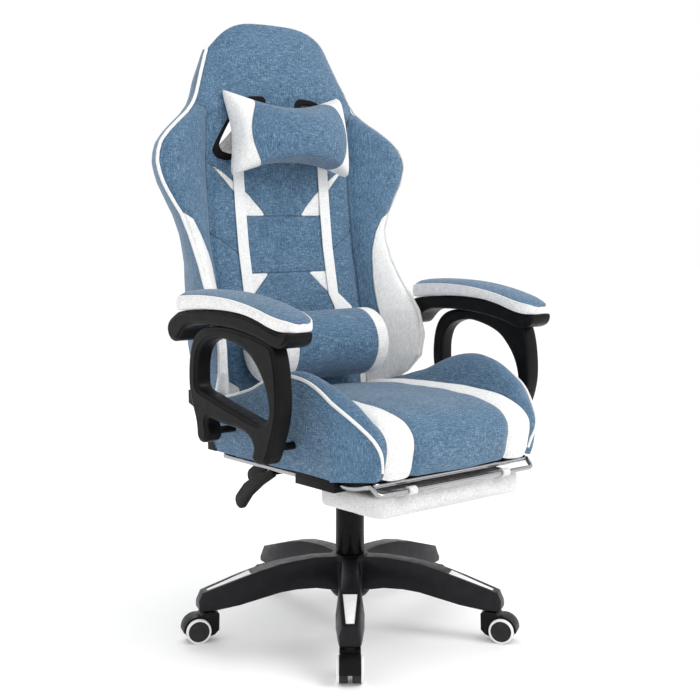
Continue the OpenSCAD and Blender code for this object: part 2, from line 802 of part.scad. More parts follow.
// Webbing that holds both pillows, in front of the middle panel.
module straps() {
    color([0.92, 0.92, 0.91])
    both_sides() across(98, 124) polygon(layer_strip([530, 600, 768, 850, 948], 3));
}

// Strip of thickness t just in front of the middle panel, through the given heights.
function layer_strip(zs, t) =
    concat([for (z = zs) [at_z(face_y, z) - gap - t, z]],
           [for (i = [len(zs) - 1 : -1 : 0]) [at_z(face_y, zs[i]) - gap, zs[i]]]);

star_base();
leg_inserts();
gas_cylinder();
gas_cover_lower();
caster_hood(1);  // caster_1_hood
caster_pin(1);  // caster_1_pin
caster_wheel(1, 1);  // caster_1_wheel_left
caster_wheel(1, -1);  // caster_1_wheel_right
caster_hood(2);  // caster_2_hood
caster_pin(2);  // caster_2_pin
caster_wheel(2, 1);  // caster_2_wheel_left
caster_wheel(2, -1);  // caster_2_wheel_right
caster_hood(3);  // caster_3_hood
caster_pin(3);  // caster_3_pin
caster_wheel(3, 1);  // caster_3_wheel_left
caster_wheel(3, -1);  // caster_3_wheel_right
caster_hood(4);  // caster_4_hood
caster_pin(4);  // caster_4_pin
caster_wheel(4, 1);  // caster_4_wheel_left
caster_wheel(4, -1);  // caster_4_wheel_right
caster_hood(5);  // caster_5_hood
caster_pin(5);  // caster_5_pin
caster_wheel(5, 1);  // caster_5_wheel_left
caster_wheel(5, -1);  // caster_5_wheel_right
gas_piston();
gas_cover_upper();
mechanism_housing();
rocking_pin();
tension_knob();
height_lever();
recline_lever();
seat_plate();
seat_frame();
seat_pan();
seat_cushion();
seat_bolster_left();
seat_bolster_right();
recliner_left();
recliner_right();
arm_frame_left();
arm_frame_right();
arm_pad_left();
arm_pad_right();
arm_bolts();
footrest_guides();
footrest_rail();
footrest_board();
footrest_cushion();
back_frame();
back_cushion();
head_cushion();
back_wing_left();
back_wing_right();
back_cover();
harness_trims();
head_pillow();
lumbar_pillow();
straps();
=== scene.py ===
import bpy
import bmesh
import math
import numpy as np
from mathutils import Matrix, Vector, noise


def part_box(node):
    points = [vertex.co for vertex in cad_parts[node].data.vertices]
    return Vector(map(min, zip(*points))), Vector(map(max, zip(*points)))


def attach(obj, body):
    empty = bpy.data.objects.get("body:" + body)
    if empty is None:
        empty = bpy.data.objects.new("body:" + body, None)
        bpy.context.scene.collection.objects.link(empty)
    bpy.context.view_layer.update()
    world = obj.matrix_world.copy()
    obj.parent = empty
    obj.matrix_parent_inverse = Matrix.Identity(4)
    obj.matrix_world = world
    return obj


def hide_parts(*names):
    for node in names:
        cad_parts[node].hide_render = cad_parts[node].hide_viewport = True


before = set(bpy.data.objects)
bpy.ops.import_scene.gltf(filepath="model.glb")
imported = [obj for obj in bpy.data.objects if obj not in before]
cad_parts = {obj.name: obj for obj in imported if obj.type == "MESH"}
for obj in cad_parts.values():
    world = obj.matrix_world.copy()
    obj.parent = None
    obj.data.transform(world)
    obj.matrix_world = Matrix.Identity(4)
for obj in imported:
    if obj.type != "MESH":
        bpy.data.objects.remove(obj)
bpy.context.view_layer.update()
MM = 0.001

# ---- shapes of the chair, in millimetres in the frame's own axes ----
# half width of the middle of seat and back, half width and height of the seat, rise of its bolsters
MIDDLE = 184
SEAT_HALF, SEAT_Z, CREST = 256, 490, 62
SEAT_REAR, SEAT_FRONT, SEAT_LOW = 104, -320, 377
# |x| of the seam beside the white stripe, and the stripe's middle and half width
SEAT_SEAM, STRIPE, STRIPE_HALF = 120, 152, 32
PIPING_R = 3.4
# lowest and highest row of the back, and how square the top of the head is
BACK_LOW, BACK_TOP, HEAD_ROUND = 452, 1174.0, 3.7
# [height, y] of the front face of the middle panel, and of the rear face
FACE = [[436, 150], [600, 182], [768, 215], [850, 225], [950, 234], [1050, 229], [1100, 232],
        [1160, 242], [1205, 254], [1233, 266]]
REAR = [[436, 226], [600, 258], [850, 303], [1000, 316], [1120, 320], [1233, 318]]
# [height at the edge, half width, y] of the piping
EDGE = [[452, 200, 150], [476, 226, 128], [496, 250, 102], [532, 262, 74], [577, 266, 68],
        [629, 262, 80], [677, 257, 115], [700, 255, 132], [740, 251, 156], [780, 253, 176],
        [800, 256, 183], [840, 271, 188], [860, 284, 190], [880, 296, 192], [900, 308, 192],
        [920, 315, 193], [940, 320, 193], [960, 317, 194], [980, 308, 198], [1000, 288, 203],
        [1020, 261, 213], [1040, 231, 226], [1060, 209, 236], [1080, 197, 242], [1100, 189, 246],
        [1120, 180, 252], [1140, 171, 257], [1160, 162, 262], [1174, 155, 265]]
HEAD_RISE = [[1000, 0], [1060, 8], [1120, 28], [1174, 59]]
SLOT = [[34, 1052], [44, 1074], [58, 1078], [96, 1072], [124, 1046], [164, 981], [164, 962],
        [150, 953], [118, 957], [46, 1024]]
# white shapes on the back and the edge of its middle panel, [|x|, z]
WHITE_UPPER = [[183, 944], [150, 925], [111, 897], [86, 877], [60, 851], [46, 834], [100, 834],
               [105, 853], [111, 871], [146, 908]]
WHITE_LOWER = [[51, 716], [112, 716], [106, 664]]
WHITE_WING = [[268, 842], [247, 829], [230, 800], [222, 780], [215, 760], [211, 740], [207, 700],
              [205, 640], [207, 598], [206, 557], [196, 520], [178, 500], [160, 488], [160, 430],
              [300, 430], [300, 842]]
PANEL = [[178, 425], [184, 500], [187, 700], [186, 900], [184, 1020], [184, 1040], [188, 1051],
         [198, 1057], [215, 1060], [420, 1062], [420, 425]]
# stitched lines on the back, as pairs of [|x|, z]
STITCHED = [([0, 834], [46, 834]), ([0, 716], [51, 716]), ([186, 800], [112, 752])]
# how deep each seam and stitched line pulls the cover in, and how wide
GROOVES = [(6.0, 9), (1.2, 5), (1.2, 5), (1.6, 6), (1.8, 6), (1.8, 6), (1.5, 5)]
# armrest, in [y, z]: bolt holes in the seat side, beam under the pad, loop and its opening
ARM_HOLES = [[31, 434], [-153, 427]]
ARM_REAR_HOLE = [130, 618]
ARM_OUTER, ARM_THICK, BEAM_THICK = 335, 34, 56
BEAM = [[101, 656], [49, 661], [-9, 664], [-65, 664], [-115, 660], [-155, 652], [-186, 643],
        [-212, 637], [-234, 637], [-233, 622], [-222, 613], [-206, 609], [-187, 611], [-160, 619],
        [-128, 626], [-87, 632], [-46, 635], [-2, 636], [42, 634], [65, 631], [84, 624], [98, 612],
        [110, 601], [122, 597], [134, 599], [143, 606], [148, 618], [146, 629], [137, 639], [118, 650]]
LOOP = [[-128, 628], [-60, 636], [0, 634], [30, 628], [52, 614], [66, 592], [73, 564], [75, 533],
        [72, 506], [64, 482], [54, 458], [50, 440], [48, 424], [38, 415], [26, 415], [15, 422],
        [11, 436], [16, 452], [10, 462], [-10, 461], [-34, 458], [-63, 457], [-92, 454],
        [-114, 447], [-128, 436], [-131, 424], [-126, 410], [-136, 401], [-158, 401], [-172, 407],
        [-186, 436], [-198, 466], [-205, 494], [-207, 520], [-205, 552], [-200, 582], [-192, 606],
        [-180, 616]]
LOOP_HOLE = [[46, 530], [45, 560], [36, 586], [18, 602], [-8, 611], [-37, 614], [-66, 610],
             [-99, 601], [-124, 589], [-143, 572], [-159, 552], [-170, 530], [-176, 507],
             [-176, 490], [-168, 479], [-154, 474], [-122, 477], [-81, 486], [-38, 495], [2, 505],
             [34, 512], [44, 519]]
# footrest rail and the rod that the footrest flips round
RAIL_HALF, RAIL_FRONT_HALF, RAIL_R = 214, 200, 6
RAIL_REAR, RAIL_BEND, RAIL_Z = 130, -262, 360
RAIL_FRONT, RAIL_FRONT_Z = -294, 367
PIVOT_HALF, PIVOT_Y, PIVOT_Z, PIVOT_R = 198, -312, 352, 4.5
# the footrest pad against its CAD solid; |x| of each loop on the rod, y of its rear end, and its width
# against the CAD solid
FOOT_WIDER = 1.07
LOOP_X, LOOP_FRONT, LOOP_NARROWER = 120, -258, 0.5
# base: turn of the first leg, caster axis and trail, wheel radius, width and gap from the caster's middle
FIRST_LEG, LEG_TURN, CASTER_REACH, CASTER_TRAIL = -130, 72, 298, 20
WHEEL_R, WHEEL_W, WHEEL_GAP = 25, 21, 4.0


# ---- small helpers ----
def at(table, s, column=1):
    """A column of a table, read between its rows at s."""
    t = np.array(table, float)
    return np.interp(s, t[:, 0], t[:, column])


def smoothstep(lo, hi, x):
    t = np.clip((x - lo) / (hi - lo), 0, 1)
    return t * t * (3 - 2 * t)


def catmull(points, step, closed=True):
    """Smooth curve through the points, with a vertex about every step."""
    p = [np.array(q, float) for q in points]
    n, out = len(p), []
    for i in range(n if closed else n - 1):
        a, b = p[i], p[(i + 1) % n]
        before = p[i - 1] if closed or i > 0 else a
        after = p[(i + 2) % n] if closed or i < n - 2 else b
        count = max(1, int(round(np.linalg.norm(b - a) / step)))
        for k in range(count):
            t = k / count
            out.append(0.5 * (2 * a + (b - before) * t + (2 * before - 5 * a + 4 * b - after) * t * t
                              + (3 * a - before - 3 * b + after) * t ** 3))
    if not closed:
        out.append(p[-1])
    return np.array(out)


def signed_distance(points, polygon):
    """Distance to a closed outline, positive inside it."""
    p, q = np.asarray(points, float), np.asarray(polygon, float)
    best, inside = np.full(len(p), 1e9), np.zeros(len(p), bool)
    for a, b in zip(q, np.roll(q, -1, axis=0)):
        d = b - a
        t = np.clip(((p - a) @ d) / (d @ d), 0, 1)
        best = np.minimum(best, np.linalg.norm(p - a - t[:, None] * d, axis=1))
        crosses = (a[1] > p[:, 1]) != (b[1] > p[:, 1])
        slope = np.where(abs(d[1]) < 1e-9, 1e-9, d[1])
        inside ^= crosses & (p[:, 0] < a[0] + (p[:, 1] - a[1]) * d[0] / slope)
    return np.where(inside, best, -best)


def to_segment(points, a, b):
    """Distance to a straight line from a to b."""
    p, a, b = np.asarray(points, float), np.array(a, float), np.array(b, float)
    t = np.clip(((p - a) @ (b - a)) / ((b - a) @ (b - a)), 0, 1)
    return np.linalg.norm(p - a - t[:, None] * (b - a), axis=1)


def link(obj):
    bpy.context.scene.collection.objects.link(obj)
    return obj


def mesh(name, verts, faces):
    """Mesh from vertices in millimetres."""
    me = bpy.data.meshes.new(name)
    me.from_pydata((np.asarray(verts, float) * MM).tolist(), [], [tuple(map(int, f)) for f in faces])
    return me


def ring_faces(rings, sides, capped=True):
    """Quads between neighbouring rings of vertices, and a face over each end."""
    faces = []
    for a in range(0, (rings - 1) * sides, sides):
        b = a + sides
        faces += [(a + k, a + (k + 1) % sides, b + (k + 1) % sides, b + k) for k in range(sides)]
    if capped:
        faces += [tuple(range(sides)), tuple((rings - 1) * sides + k for k in range(sides))]
    return faces


def face_outwards(me):
    bm = bmesh.new()
    bm.from_mesh(me)
    bmesh.ops.recalc_face_normals(bm, faces=bm.faces)
    bm.to_mesh(me)
    bm.free()


def dress(me, name, material, body, smooth=60):
    """Object from a mesh with its materials, smooth up to an angle, riding on a CAD body."""
    face_outwards(me)
    me.shade_smooth()
    me.set_sharp_from_angle(angle=math.radians(smooth))
    me.materials.clear()
    for m in material if isinstance(material, (list, tuple)) else [material]:
        me.materials.append(m)
    obj = link(bpy.data.objects.new(name, me))
    if body:
        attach(obj, body)
    return obj


def make(name, verts, faces, material, body, smooth=60):
    return dress(mesh(name, verts, faces), name, material, body, smooth)


def evaluated(obj):
    """The object's mesh with its modifiers applied; the object is removed."""
    bpy.context.view_layer.update()
    dg = bpy.context.evaluated_depsgraph_get()
    me = bpy.data.meshes.new_from_object(obj.evaluated_get(dg))
    bpy.data.objects.remove(obj, do_unlink=True)
    return me


def modified(me, kind, **settings):
    """The mesh after one modifier."""
    obj = link(bpy.data.objects.new("tmp", me))
    mod = obj.modifiers.new(kind.lower(), kind)
    for key, value in settings.items():
        setattr(mod, key, value)
    return evaluated(obj)


def coords(me):
    """Vertex coordinates, in metres."""
    co = np.zeros(len(me.vertices) * 3)
    me.vertices.foreach_get("co", co)
    return co.reshape(-1, 3)


def put(me, co):
    me.vertices.foreach_set("co", np.asarray(co, np.float32).ravel())
    me.update()


def attribute(me, name, values):
    """One number per vertex, in metres, for the materials to read."""
    a = me.attributes.get(name) or me.attributes.new(name, "FLOAT", "POINT")
    a.data.foreach_set("value", np.asarray(values, np.float32))


def soft_noise(co, scale, seed):
    shift = Vector((seed, 2 * seed, 3 * seed))
    return np.array([noise.noise(Vector(p) * scale + shift) for p in co])


def circle(y, z, r):
    return [[y + r * math.cos(t), z + r * math.sin(t)] for t in np.linspace(0, 2 * math.pi, 33)[:-1]]


def curve(name, outlines, closed):
    """Curve object through lists of points in millimetres."""
    cu = bpy.data.curves.new(name, "CURVE")
    for outline in outlines:
        sp = cu.splines.new("POLY")
        sp.points.add(len(outline) - 1)
        for q, p in zip(sp.points, outline):
            q.co = (p[0] * MM, p[1] * MM, p[2] * MM if len(p) > 2 else 0, 1)
        sp.use_cyclic_u = closed
    return link(bpy.data.objects.new(name, cu)), cu


def tube(name, points, r, material, body, closed=False, sides=10):
    """Round rod or piping along a path."""
    obj, cu = curve(name, [points], closed)
    cu.dimensions = "3D"
    cu.bevel_depth, cu.bevel_resolution, cu.use_fill_caps = r * MM, max(1, sides // 4), True
    return dress(evaluated(obj), name, material, body, 50)


def plate(name, outlines, x0, x1, bevel, material, body, facing="x", inset=0):
    """Flat shape with rounded edges, drawn in by inset. facing x: outlines are [y, z]; facing y: [x, z]."""
    obj, cu = curve(name, outlines, True)
    cu.dimensions, cu.fill_mode = "2D", "BOTH"
    cu.extrude = (abs(x1 - x0) / 2 - bevel) * MM
    cu.bevel_depth, cu.bevel_resolution, cu.offset = bevel * MM, 3, -(bevel + inset) * MM
    mid = (x0 + x1) / 2 * MM
    turns = {"x": ((0, 0, 1, mid), (1, 0, 0, 0), (0, 1, 0, 0), (0, 0, 0, 1)),
             "y": ((1, 0, 0, 0), (0, 0, 1, mid), (0, 1, 0, 0), (0, 0, 0, 1))}
    me = evaluated(obj)
    me.transform(Matrix(turns[facing]))
    return dress(me, name, material, body, 35)


def refine(node, width, material, body):
    """CAD node with its edges rounded, standing for the node."""
    bm = bmesh.new()
    bm.from_mesh(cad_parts[node].data)
    bmesh.ops.remove_doubles(bm, verts=bm.verts, dist=2e-5)
    bmesh.ops.dissolve_limit(bm, angle_limit=math.radians(2), verts=bm.verts, edges=bm.edges)
    me = bpy.data.meshes.new(node)
    bm.to_mesh(me)
    bm.free()
    me = modified(me, "BEVEL", width=width * MM, segments=3, limit_method="ANGLE",
                  angle_limit=math.radians(28))
    piece = dress(me, node + "_skin", material, body, 40)
    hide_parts(node)
    return piece


# ---- materials ----
class Shader:
    """A Principled material and short names for the nodes that feed it."""

    def __init__(self, name, rough, metal=0.0, sheen=0.0, specular=0.5):
        self.mat = bpy.data.materials.new(name)
        self.mat.use_nodes = True
        self.nodes, self.links = self.mat.node_tree.nodes, self.mat.node_tree.links
        self.out = self.nodes["Principled BSDF"]
        for key, value in (("Roughness", rough), ("Metallic", metal), ("Sheen Weight", sheen),
                           ("Specular IOR Level", specular)):
            self.out.inputs[key].default_value = value
        self.place = self.nodes.new("ShaderNodeTexCoord")

    def set(self, key, source):
        self.feed(self.out.inputs[key], source)

    def feed(self, socket, value):
        if hasattr(value, "is_linked"):
            self.links.new(value, socket)
        else:
            socket.default_value = value

    def math(self, op, a, b=0.0, clamp=False):
        n = self.nodes.new("ShaderNodeMath")
        n.operation, n.use_clamp = op, clamp
        self.feed(n.inputs[0], a)
        self.feed(n.inputs[1], b)
        return n.outputs[0]

    def ramp(self, value, lo, hi, a=0.0, b=1.0):
        n = self.nodes.new("ShaderNodeMapRange")
        n.interpolation_type = "SMOOTHSTEP"
        for i, v in enumerate((value, lo, hi, a, b)):
            self.feed(n.inputs[i], v)
        return n.outputs[0]

    def noise(self, scale, size=1.0, detail=3.0, rough=0.55, seed=0.0):
        m = self.nodes.new("ShaderNodeMapping")
        self.links.new(self.place.outputs["Object"], m.inputs["Vector"])
        m.inputs["Scale"].default_value = [s * size for s in scale]
        m.inputs["Location"].default_value = [seed, seed * 1.7, seed * 2.3]
        n = self.nodes.new("ShaderNodeTexNoise")
        n.inputs["Scale"].default_value, n.inputs["Detail"].default_value = 1.0, detail
        n.inputs["Roughness"].default_value = rough
        self.links.new(m.outputs[0], n.inputs["Vector"])
        return n.outputs[0]

    def mix(self, fac, a, b):
        n = self.nodes.new("ShaderNodeMix")
        n.data_type = "RGBA"
        self.feed(n.inputs[0], fac)
        for socket, v in ((n.inputs[6], a), (n.inputs[7], b)):
            self.feed(socket, v if hasattr(v, "is_linked") else (*v, 1.0))
        return n.outputs[2]

    def bump(self, height, strength, distance, normal=None):
        n = self.nodes.new("ShaderNodeBump")
        n.inputs["Strength"].default_value, n.inputs["Distance"].default_value = strength, distance
        self.links.new(height, n.inputs["Height"])
        if normal is not None:
            self.links.new(normal, n.inputs["Normal"])
        return n.outputs[0]

    def read(self, name):
        n = self.nodes.new("ShaderNodeAttribute")
        n.attribute_name = name
        return n.outputs["Fac"]


# thread frequencies of the linen, across and along a slub, and across and along a fine thread
SLUB, THREAD = (620.0, 75.0), (1500.0, 160.0)
# distance of the stitching from its seam in metres, and the colour of the painted shade in the seam
STITCH_OFFSET, SEAM_SHADE = 0.0042, (0.02, 0.035, 0.06)


def streaks(s):
    """Slubs of a linen weave along both thread directions of whichever way the cloth faces."""
    split = s.nodes.new("ShaderNodeSeparateXYZ")
    s.links.new(s.place.outputs["Normal"], split.inputs[0])
    total, fine = 0.0, 0.0
    for i in range(3):
        weight = s.math("SUBTRACT", 1.0, s.math("MULTIPLY", split.outputs[i], split.outputs[i]))
        coarse = s.noise([SLUB[k == i] for k in range(3)], 1, 3, 0.6, 3.1 + i)
        thread = s.noise([THREAD[k == i] for k in range(3)], 1, 1, 0.5, 7.7 + i)
        total = s.math("ADD", total, s.math("MULTIPLY", weight, s.math("SUBTRACT", coarse, 0.5)))
        fine = s.math("ADD", fine, s.math("MULTIPLY", weight, s.math("SUBTRACT", thread, 0.5)))
    return total, fine


def linen(name, dark, base, pale, panels=False, lines=()):
    """Woven linen: slubs in both directions, a fine thread relief and a soft sheen.
    With panels, the white attribute picks white cloth and both attributes draw the seams."""
    s = Shader(name, 0.92, sheen=0.25, specular=0.25)
    total, fine = streaks(s)
    blotch = s.noise((1, 1, 1), 26, 3, 0.5, 1.0)
    tone = s.math("ADD", s.math("MULTIPLY", total, 2.1), s.math("MULTIPLY", fine, 0.8))
    tone = s.math("ADD", tone, s.math("MULTIPLY", s.math("SUBTRACT", blotch, 0.5), 0.35))
    colour = s.mix(s.ramp(tone, -0.62, 0.0), dark, base)
    colour = s.mix(s.ramp(tone, 0.0, 0.75), colour, pale)
    height = s.math("ADD", s.math("MULTIPLY", total, 0.5), fine)
    if panels:
        sd, panel = s.read("white"), s.read("panel")
        cloth = s.mix(s.ramp(tone, -0.6, 0.6), WHITE_DARK, WHITE_LIGHT)
        colour = s.mix(s.ramp(sd, -0.0004, 0.0004), colour, cloth)
        gap = s.math("MINIMUM", s.math("ABSOLUTE", sd), s.math("ABSOLUTE", panel))
        for a, b in lines:
            gap = s.math("MINIMUM", gap, segment(s, a, b))
        seam = s.ramp(gap, 0.0004, 0.0019, 1.0, 0.0)
        beside = s.math("ABSOLUTE", s.math("SUBTRACT", gap, STITCH_OFFSET))
        broken = s.ramp(s.noise((1, 1, 1), 420, 0, 0.5, 4.0), 0.46, 0.54)
        stitch = s.math("MULTIPLY", s.ramp(beside, 0.0003, 0.0007, 1.0, 0.0), broken)
        # painted shade: the seam lines are mixed towards SEAM_SHADE, a dark colour standing for the shadow in
        # the seam's groove
        colour = s.mix(s.math("MULTIPLY", seam, 0.62), colour, SEAM_SHADE)
        colour = s.mix(s.math("MULTIPLY", stitch, 0.25), colour, pale)
        height = s.math("SUBTRACT", height, s.math("MULTIPLY", seam, 1.6))
    s.set("Base Color", colour)
    s.set("Normal", s.bump(height, 0.45, 0.0009))
    return s.mat


def segment(s, a, b):
    """Shader distance from a straight stitched line on the back, given as [|x|, z]."""
    split = s.nodes.new("ShaderNodeSeparateXYZ")
    s.links.new(s.place.outputs["Object"], split.inputs[0])
    x, z = s.math("ABSOLUTE", split.outputs[0]), split.outputs[2]
    ax, az, dx, dz = a[0] * MM, a[1] * MM, (b[0] - a[0]) * MM, (b[1] - a[1]) * MM
    length = dx * dx + dz * dz
    px, pz = s.math("SUBTRACT", x, ax), s.math("SUBTRACT", z, az)
    t = s.math("ADD", s.math("MULTIPLY", px, dx / length), s.math("MULTIPLY", pz, dz / length), True)
    ex = s.math("SUBTRACT", px, s.math("MULTIPLY", t, dx))
    ez = s.math("SUBTRACT", pz, s.math("MULTIPLY", t, dz))
    return s.math("SQRT", s.math("ADD", s.math("MULTIPLY", ex, ex), s.math("MULTIPLY", ez, ez)))


def plastic(name, base, worn, rough, grain=900, relief=0.25, specular=0.12):
    """Satin moulded plastic: fine spark-eroded grain and faint handling marks."""
    s = Shader(name, rough, specular=specular)
    marks = s.noise((1, 1, 1), 38, 4, 0.6, 2.0)
    s.set("Base Color", s.mix(s.ramp(marks, 0.35, 0.8), base, worn))
    s.set("Roughness", s.ramp(s.noise((1, 1, 1), 70, 3, 0.6, 5.0), 0.3, 0.75, rough - 0.06, rough + 0.08))
    s.set("Normal", s.bump(s.noise((1, 1, 1), grain, 2, 0.6, 9.0), relief, 0.0004))
    return s.mat


def metal(name, base, rough, brushed=(300, 300, 300)):
    """Bright metal with fine lines in its colour and gloss."""
    s = Shader(name, rough, metal=1.0)
    lines = s.noise(brushed, 1, 3, 0.6, 2.0)
    s.set("Base Color", s.mix(lines, [c * 0.9 for c in base], base))
    s.set("Roughness", s.ramp(lines, 0.3, 0.7, rough * 0.8, rough * 1.25))
    return s.mat


WHITE_DARK, WHITE_LIGHT = (0.68, 0.68, 0.675), (0.93, 0.93, 0.925)
BLUE_DARK, BLUE, BLUE_PALE = (0.022, 0.061, 0.118), (0.076, 0.152, 0.245), (0.225, 0.345, 0.46)
M_WHITE = linen("white_linen", (0.54, 0.54, 0.535), (0.71, 0.71, 0.705), (0.86, 0.86, 0.855))
M_BACK = linen("back_linen", BLUE_DARK, BLUE, BLUE_PALE, panels=True, lines=STITCHED)
M_PANELS = linen("panel_linen", BLUE_DARK, BLUE, BLUE_PALE, panels=True)
M_PIPING = linen("white_piping", (0.72, 0.72, 0.715), (0.84, 0.84, 0.835), (0.93, 0.93, 0.93))
M_BLACK = plastic("black_nylon", (0.0035, 0.0035, 0.0038), (0.0075, 0.0075, 0.008), 0.4)
M_BASE = plastic("base_nylon", (0.006, 0.0056, 0.0085), (0.011, 0.0105, 0.014), 0.38, specular=0.2)
M_GLOSS = plastic("cover_plastic", (0.0015, 0.0015, 0.0017), (0.004, 0.004, 0.004), 0.28, 500, 0.08)
M_INSERT = plastic("white_insert", (0.92, 0.92, 0.92), (0.84, 0.84, 0.835), 0.4)
M_TYRE = plastic("white_tyre", (0.86, 0.86, 0.86), (0.76, 0.76, 0.75), 0.5)
M_DISC = plastic("wheel_disc", (0.022, 0.022, 0.023), (0.035, 0.035, 0.036), 0.5)
M_METAL = plastic("powder_coat", (0.009, 0.009, 0.01), (0.018, 0.018, 0.02), 0.5, 1400, 0.4)
M_LINING = linen("dust_cover", (0.01, 0.01, 0.01), (0.018, 0.018, 0.018), (0.035, 0.035, 0.035))
M_CHROME = metal("chrome", (0.42, 0.42, 0.435), 0.12, (60, 600, 600))
M_STEEL = metal("zinc_steel", (0.6, 0.6, 0.62), 0.3)


# ---- back ----
def front_depth(x, s, z):
    """Depth of the front of the back at distance x, on the row whose edge is at height s."""
    half, edge = at(EDGE, s, 1), at(EDGE, s, 2)
    face = at(FACE, z)
    # 0 between the wings, 1 in the head, where the curve starts nearer the middle and is rounder
    head = smoothstep(1025, 1085, s)
    start = MIDDLE * (1 - head) + 0.35 * half * head
    t = np.clip((np.abs(x) - start) / np.maximum(half - start, 1), 0, 1)
    wing = np.interp(t, [0, 0.4, 0.8, 1], [0, 0.42, 0.9, 1])
    depth = face + (edge - face) * (wing * (1 - head) + t ** 1.7 * head)
    puff = 9 * np.sin(math.pi * t) ** 0.8 * (1 - head) + 5 * np.sqrt(np.clip(1 - (x / half) ** 2, 0, 1))
    return depth - puff


def back_grooves(x, z):
    """How deep the seams pull the cover in."""
    p = np.stack([np.abs(x), z], 1)
    near = [signed_distance(p, outline) for outline in (PANEL, WHITE_UPPER, WHITE_LOWER, WHITE_WING)]
    near += [to_segment(p, a, b) for a, b in STITCHED]
    return sum(a * np.exp(-(d / w) ** 2) for d, (a, w) in zip(near, GROOVES))


# vertices across the front, down each side face and over each end
BACK_COLUMNS, BACK_SIDE, BACK_END = 121, 12, 10


def back_row(s):
    """Ring of points round the back, front first, on the row whose edge is at height s."""
    us = np.linspace(-1, 1, BACK_COLUMNS)
    half = at(EDGE, s)
    rear_half = half - 22 - 0.24 * max(half - MIDDLE, 0)
    x, z = us * half, s + at(HEAD_RISE, s) * (1 - np.abs(us) ** HEAD_ROUND)
    front = np.stack([x, front_depth(x, np.full_like(x, s), z), z], 1)
    front[:, 1] += 3 * np.clip((np.abs(us) - 0.97) / 0.03, 0, 1)
    crown = 7 * (1 - np.abs(us) ** 5)
    rear = np.stack([us * rear_half, at(REAR, z - 2) - 6 + crown, z - 2], 1)
    side = []
    for t in np.arange(1, BACK_SIDE) / BACK_SIDE:
        p = front[-1] * (1 - t) + rear[-1] * t
        p[0] += 7 * math.sin(math.pi * t)
        side.append(p)
    side = np.array(side)
    return np.concatenate([front, side, rear[::-1], side[::-1] * [-1, 1, 1]])


def back_end(verts, row, up, ring):
    """Vertices and faces that close the top of the back, with up 1, or its bottom, with up -1."""
    wide, first, base = BACK_COLUMNS, row * ring, len(verts)
    rear = first + wide + BACK_SIDE - 1
    new = []
    for t in np.arange(1, BACK_END) / BACK_END:
        for j in range(wide):
            p = verts[first + j] * (1 - t) + verts[rear + wide - 1 - j] * t
            new.append(p + np.array([0, 0, up * 5 * math.sin(math.pi * t)]))
    strips = [[first + j for j in range(wide)]]
    strips += [[base + k * wide + j for j in range(wide)] for k in range(BACK_END - 1)]
    strips += [[rear + wide - 1 - j for j in range(wide)]]
    faces = [(a[j], a[j + 1], b[j + 1], b[j]) for a, b in zip(strips, strips[1:]) for j in range(wide - 1)]
    left = [first] + [first + ring - k for k in range(1, BACK_SIDE)] + [rear + wide - 1]
    right = [first + wide - 1 + k for k in range(BACK_SIDE + 1)]
    for j, side in ((0, left), (wide - 1, right)):
        faces.append(tuple([strip[j] for strip in strips] + side[::-1][1:-1]))
    return new, faces


def cut_slots(me):
    """The back with the two harness slots cut through it."""
    obj, cutters = link(bpy.data.objects.new("tmp", me)), []
    for side in (-1, 1):
        outline = [[side * p[0], p[1]] for p in catmull(SLOT, 6)]
        cutters.append(plate("cutter", [outline], 120, 400, 0.5, M_BLACK, None, facing="y"))
        mod = obj.modifiers.new("slot", "BOOLEAN")
        mod.operation, mod.object, mod.solver = "DIFFERENCE", cutters[-1], "EXACT"
    me = evaluated(obj)
    for cutter in cutters:
        bpy.data.objects.remove(cutter, do_unlink=True)
    return me


def mark_back(me):
    """White shapes and panel edge on the front; the sides and the rear stay blue."""
    co = coords(me) / MM
    x, z = np.abs(co[:, 0]), co[:, 2]
    p = np.stack([x, z], 1)
    white = np.maximum(signed_distance(p, WHITE_UPPER), signed_distance(p, WHITE_LOWER))
    white = np.maximum(white, signed_distance(p, WHITE_WING))
    allowed = np.where(x > at(EDGE, z) - 12, 5, 16)
    behind = co[:, 1] - front_depth(co[:, 0], z, z) > allowed
    attribute(me, "white", np.where(behind, -30.0, white) * MM)
    attribute(me, "panel", np.where(behind, 30.0, signed_distance(p, PANEL)) * MM)


def back_shell():
    points = np.array([back_row(s) for s in np.append(np.arange(BACK_LOW, BACK_TOP, 5.0), BACK_TOP)])
    n, ring = points.shape[:2]
    verts, faces = points.reshape(-1, 3), ring_faces(n, ring, capped=False)
    for row, up in ((n - 1, 1), (0, -1)):
        new, caps = back_end(verts, row, up, ring)
        verts, faces = np.concatenate([verts, new]), faces + caps
    me = mesh("back_shell", verts, faces)
    face_outwards(me)
    co = coords(me) / MM
    number = np.arange(len(co))
    is_front = (number < n * ring) & (number % ring < BACK_COLUMNS)
    ripple = soft_noise(co, 0.02, 4.0) * 1.6 + soft_noise(co * [1, 1, 0.4], 0.05, 9.0) * 0.9
    co[:, 1] += np.where(is_front, back_grooves(co[:, 0], co[:, 2]) + ripple, ripple * 0.6)
    put(me, co * MM)
    me = cut_slots(me)
    mark_back(me)
    shell = dress(me, "back_shell", M_BACK, "back")
    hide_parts("back_cushion", "head_cushion", "back_wing_left", "back_wing_right", "back_cover")


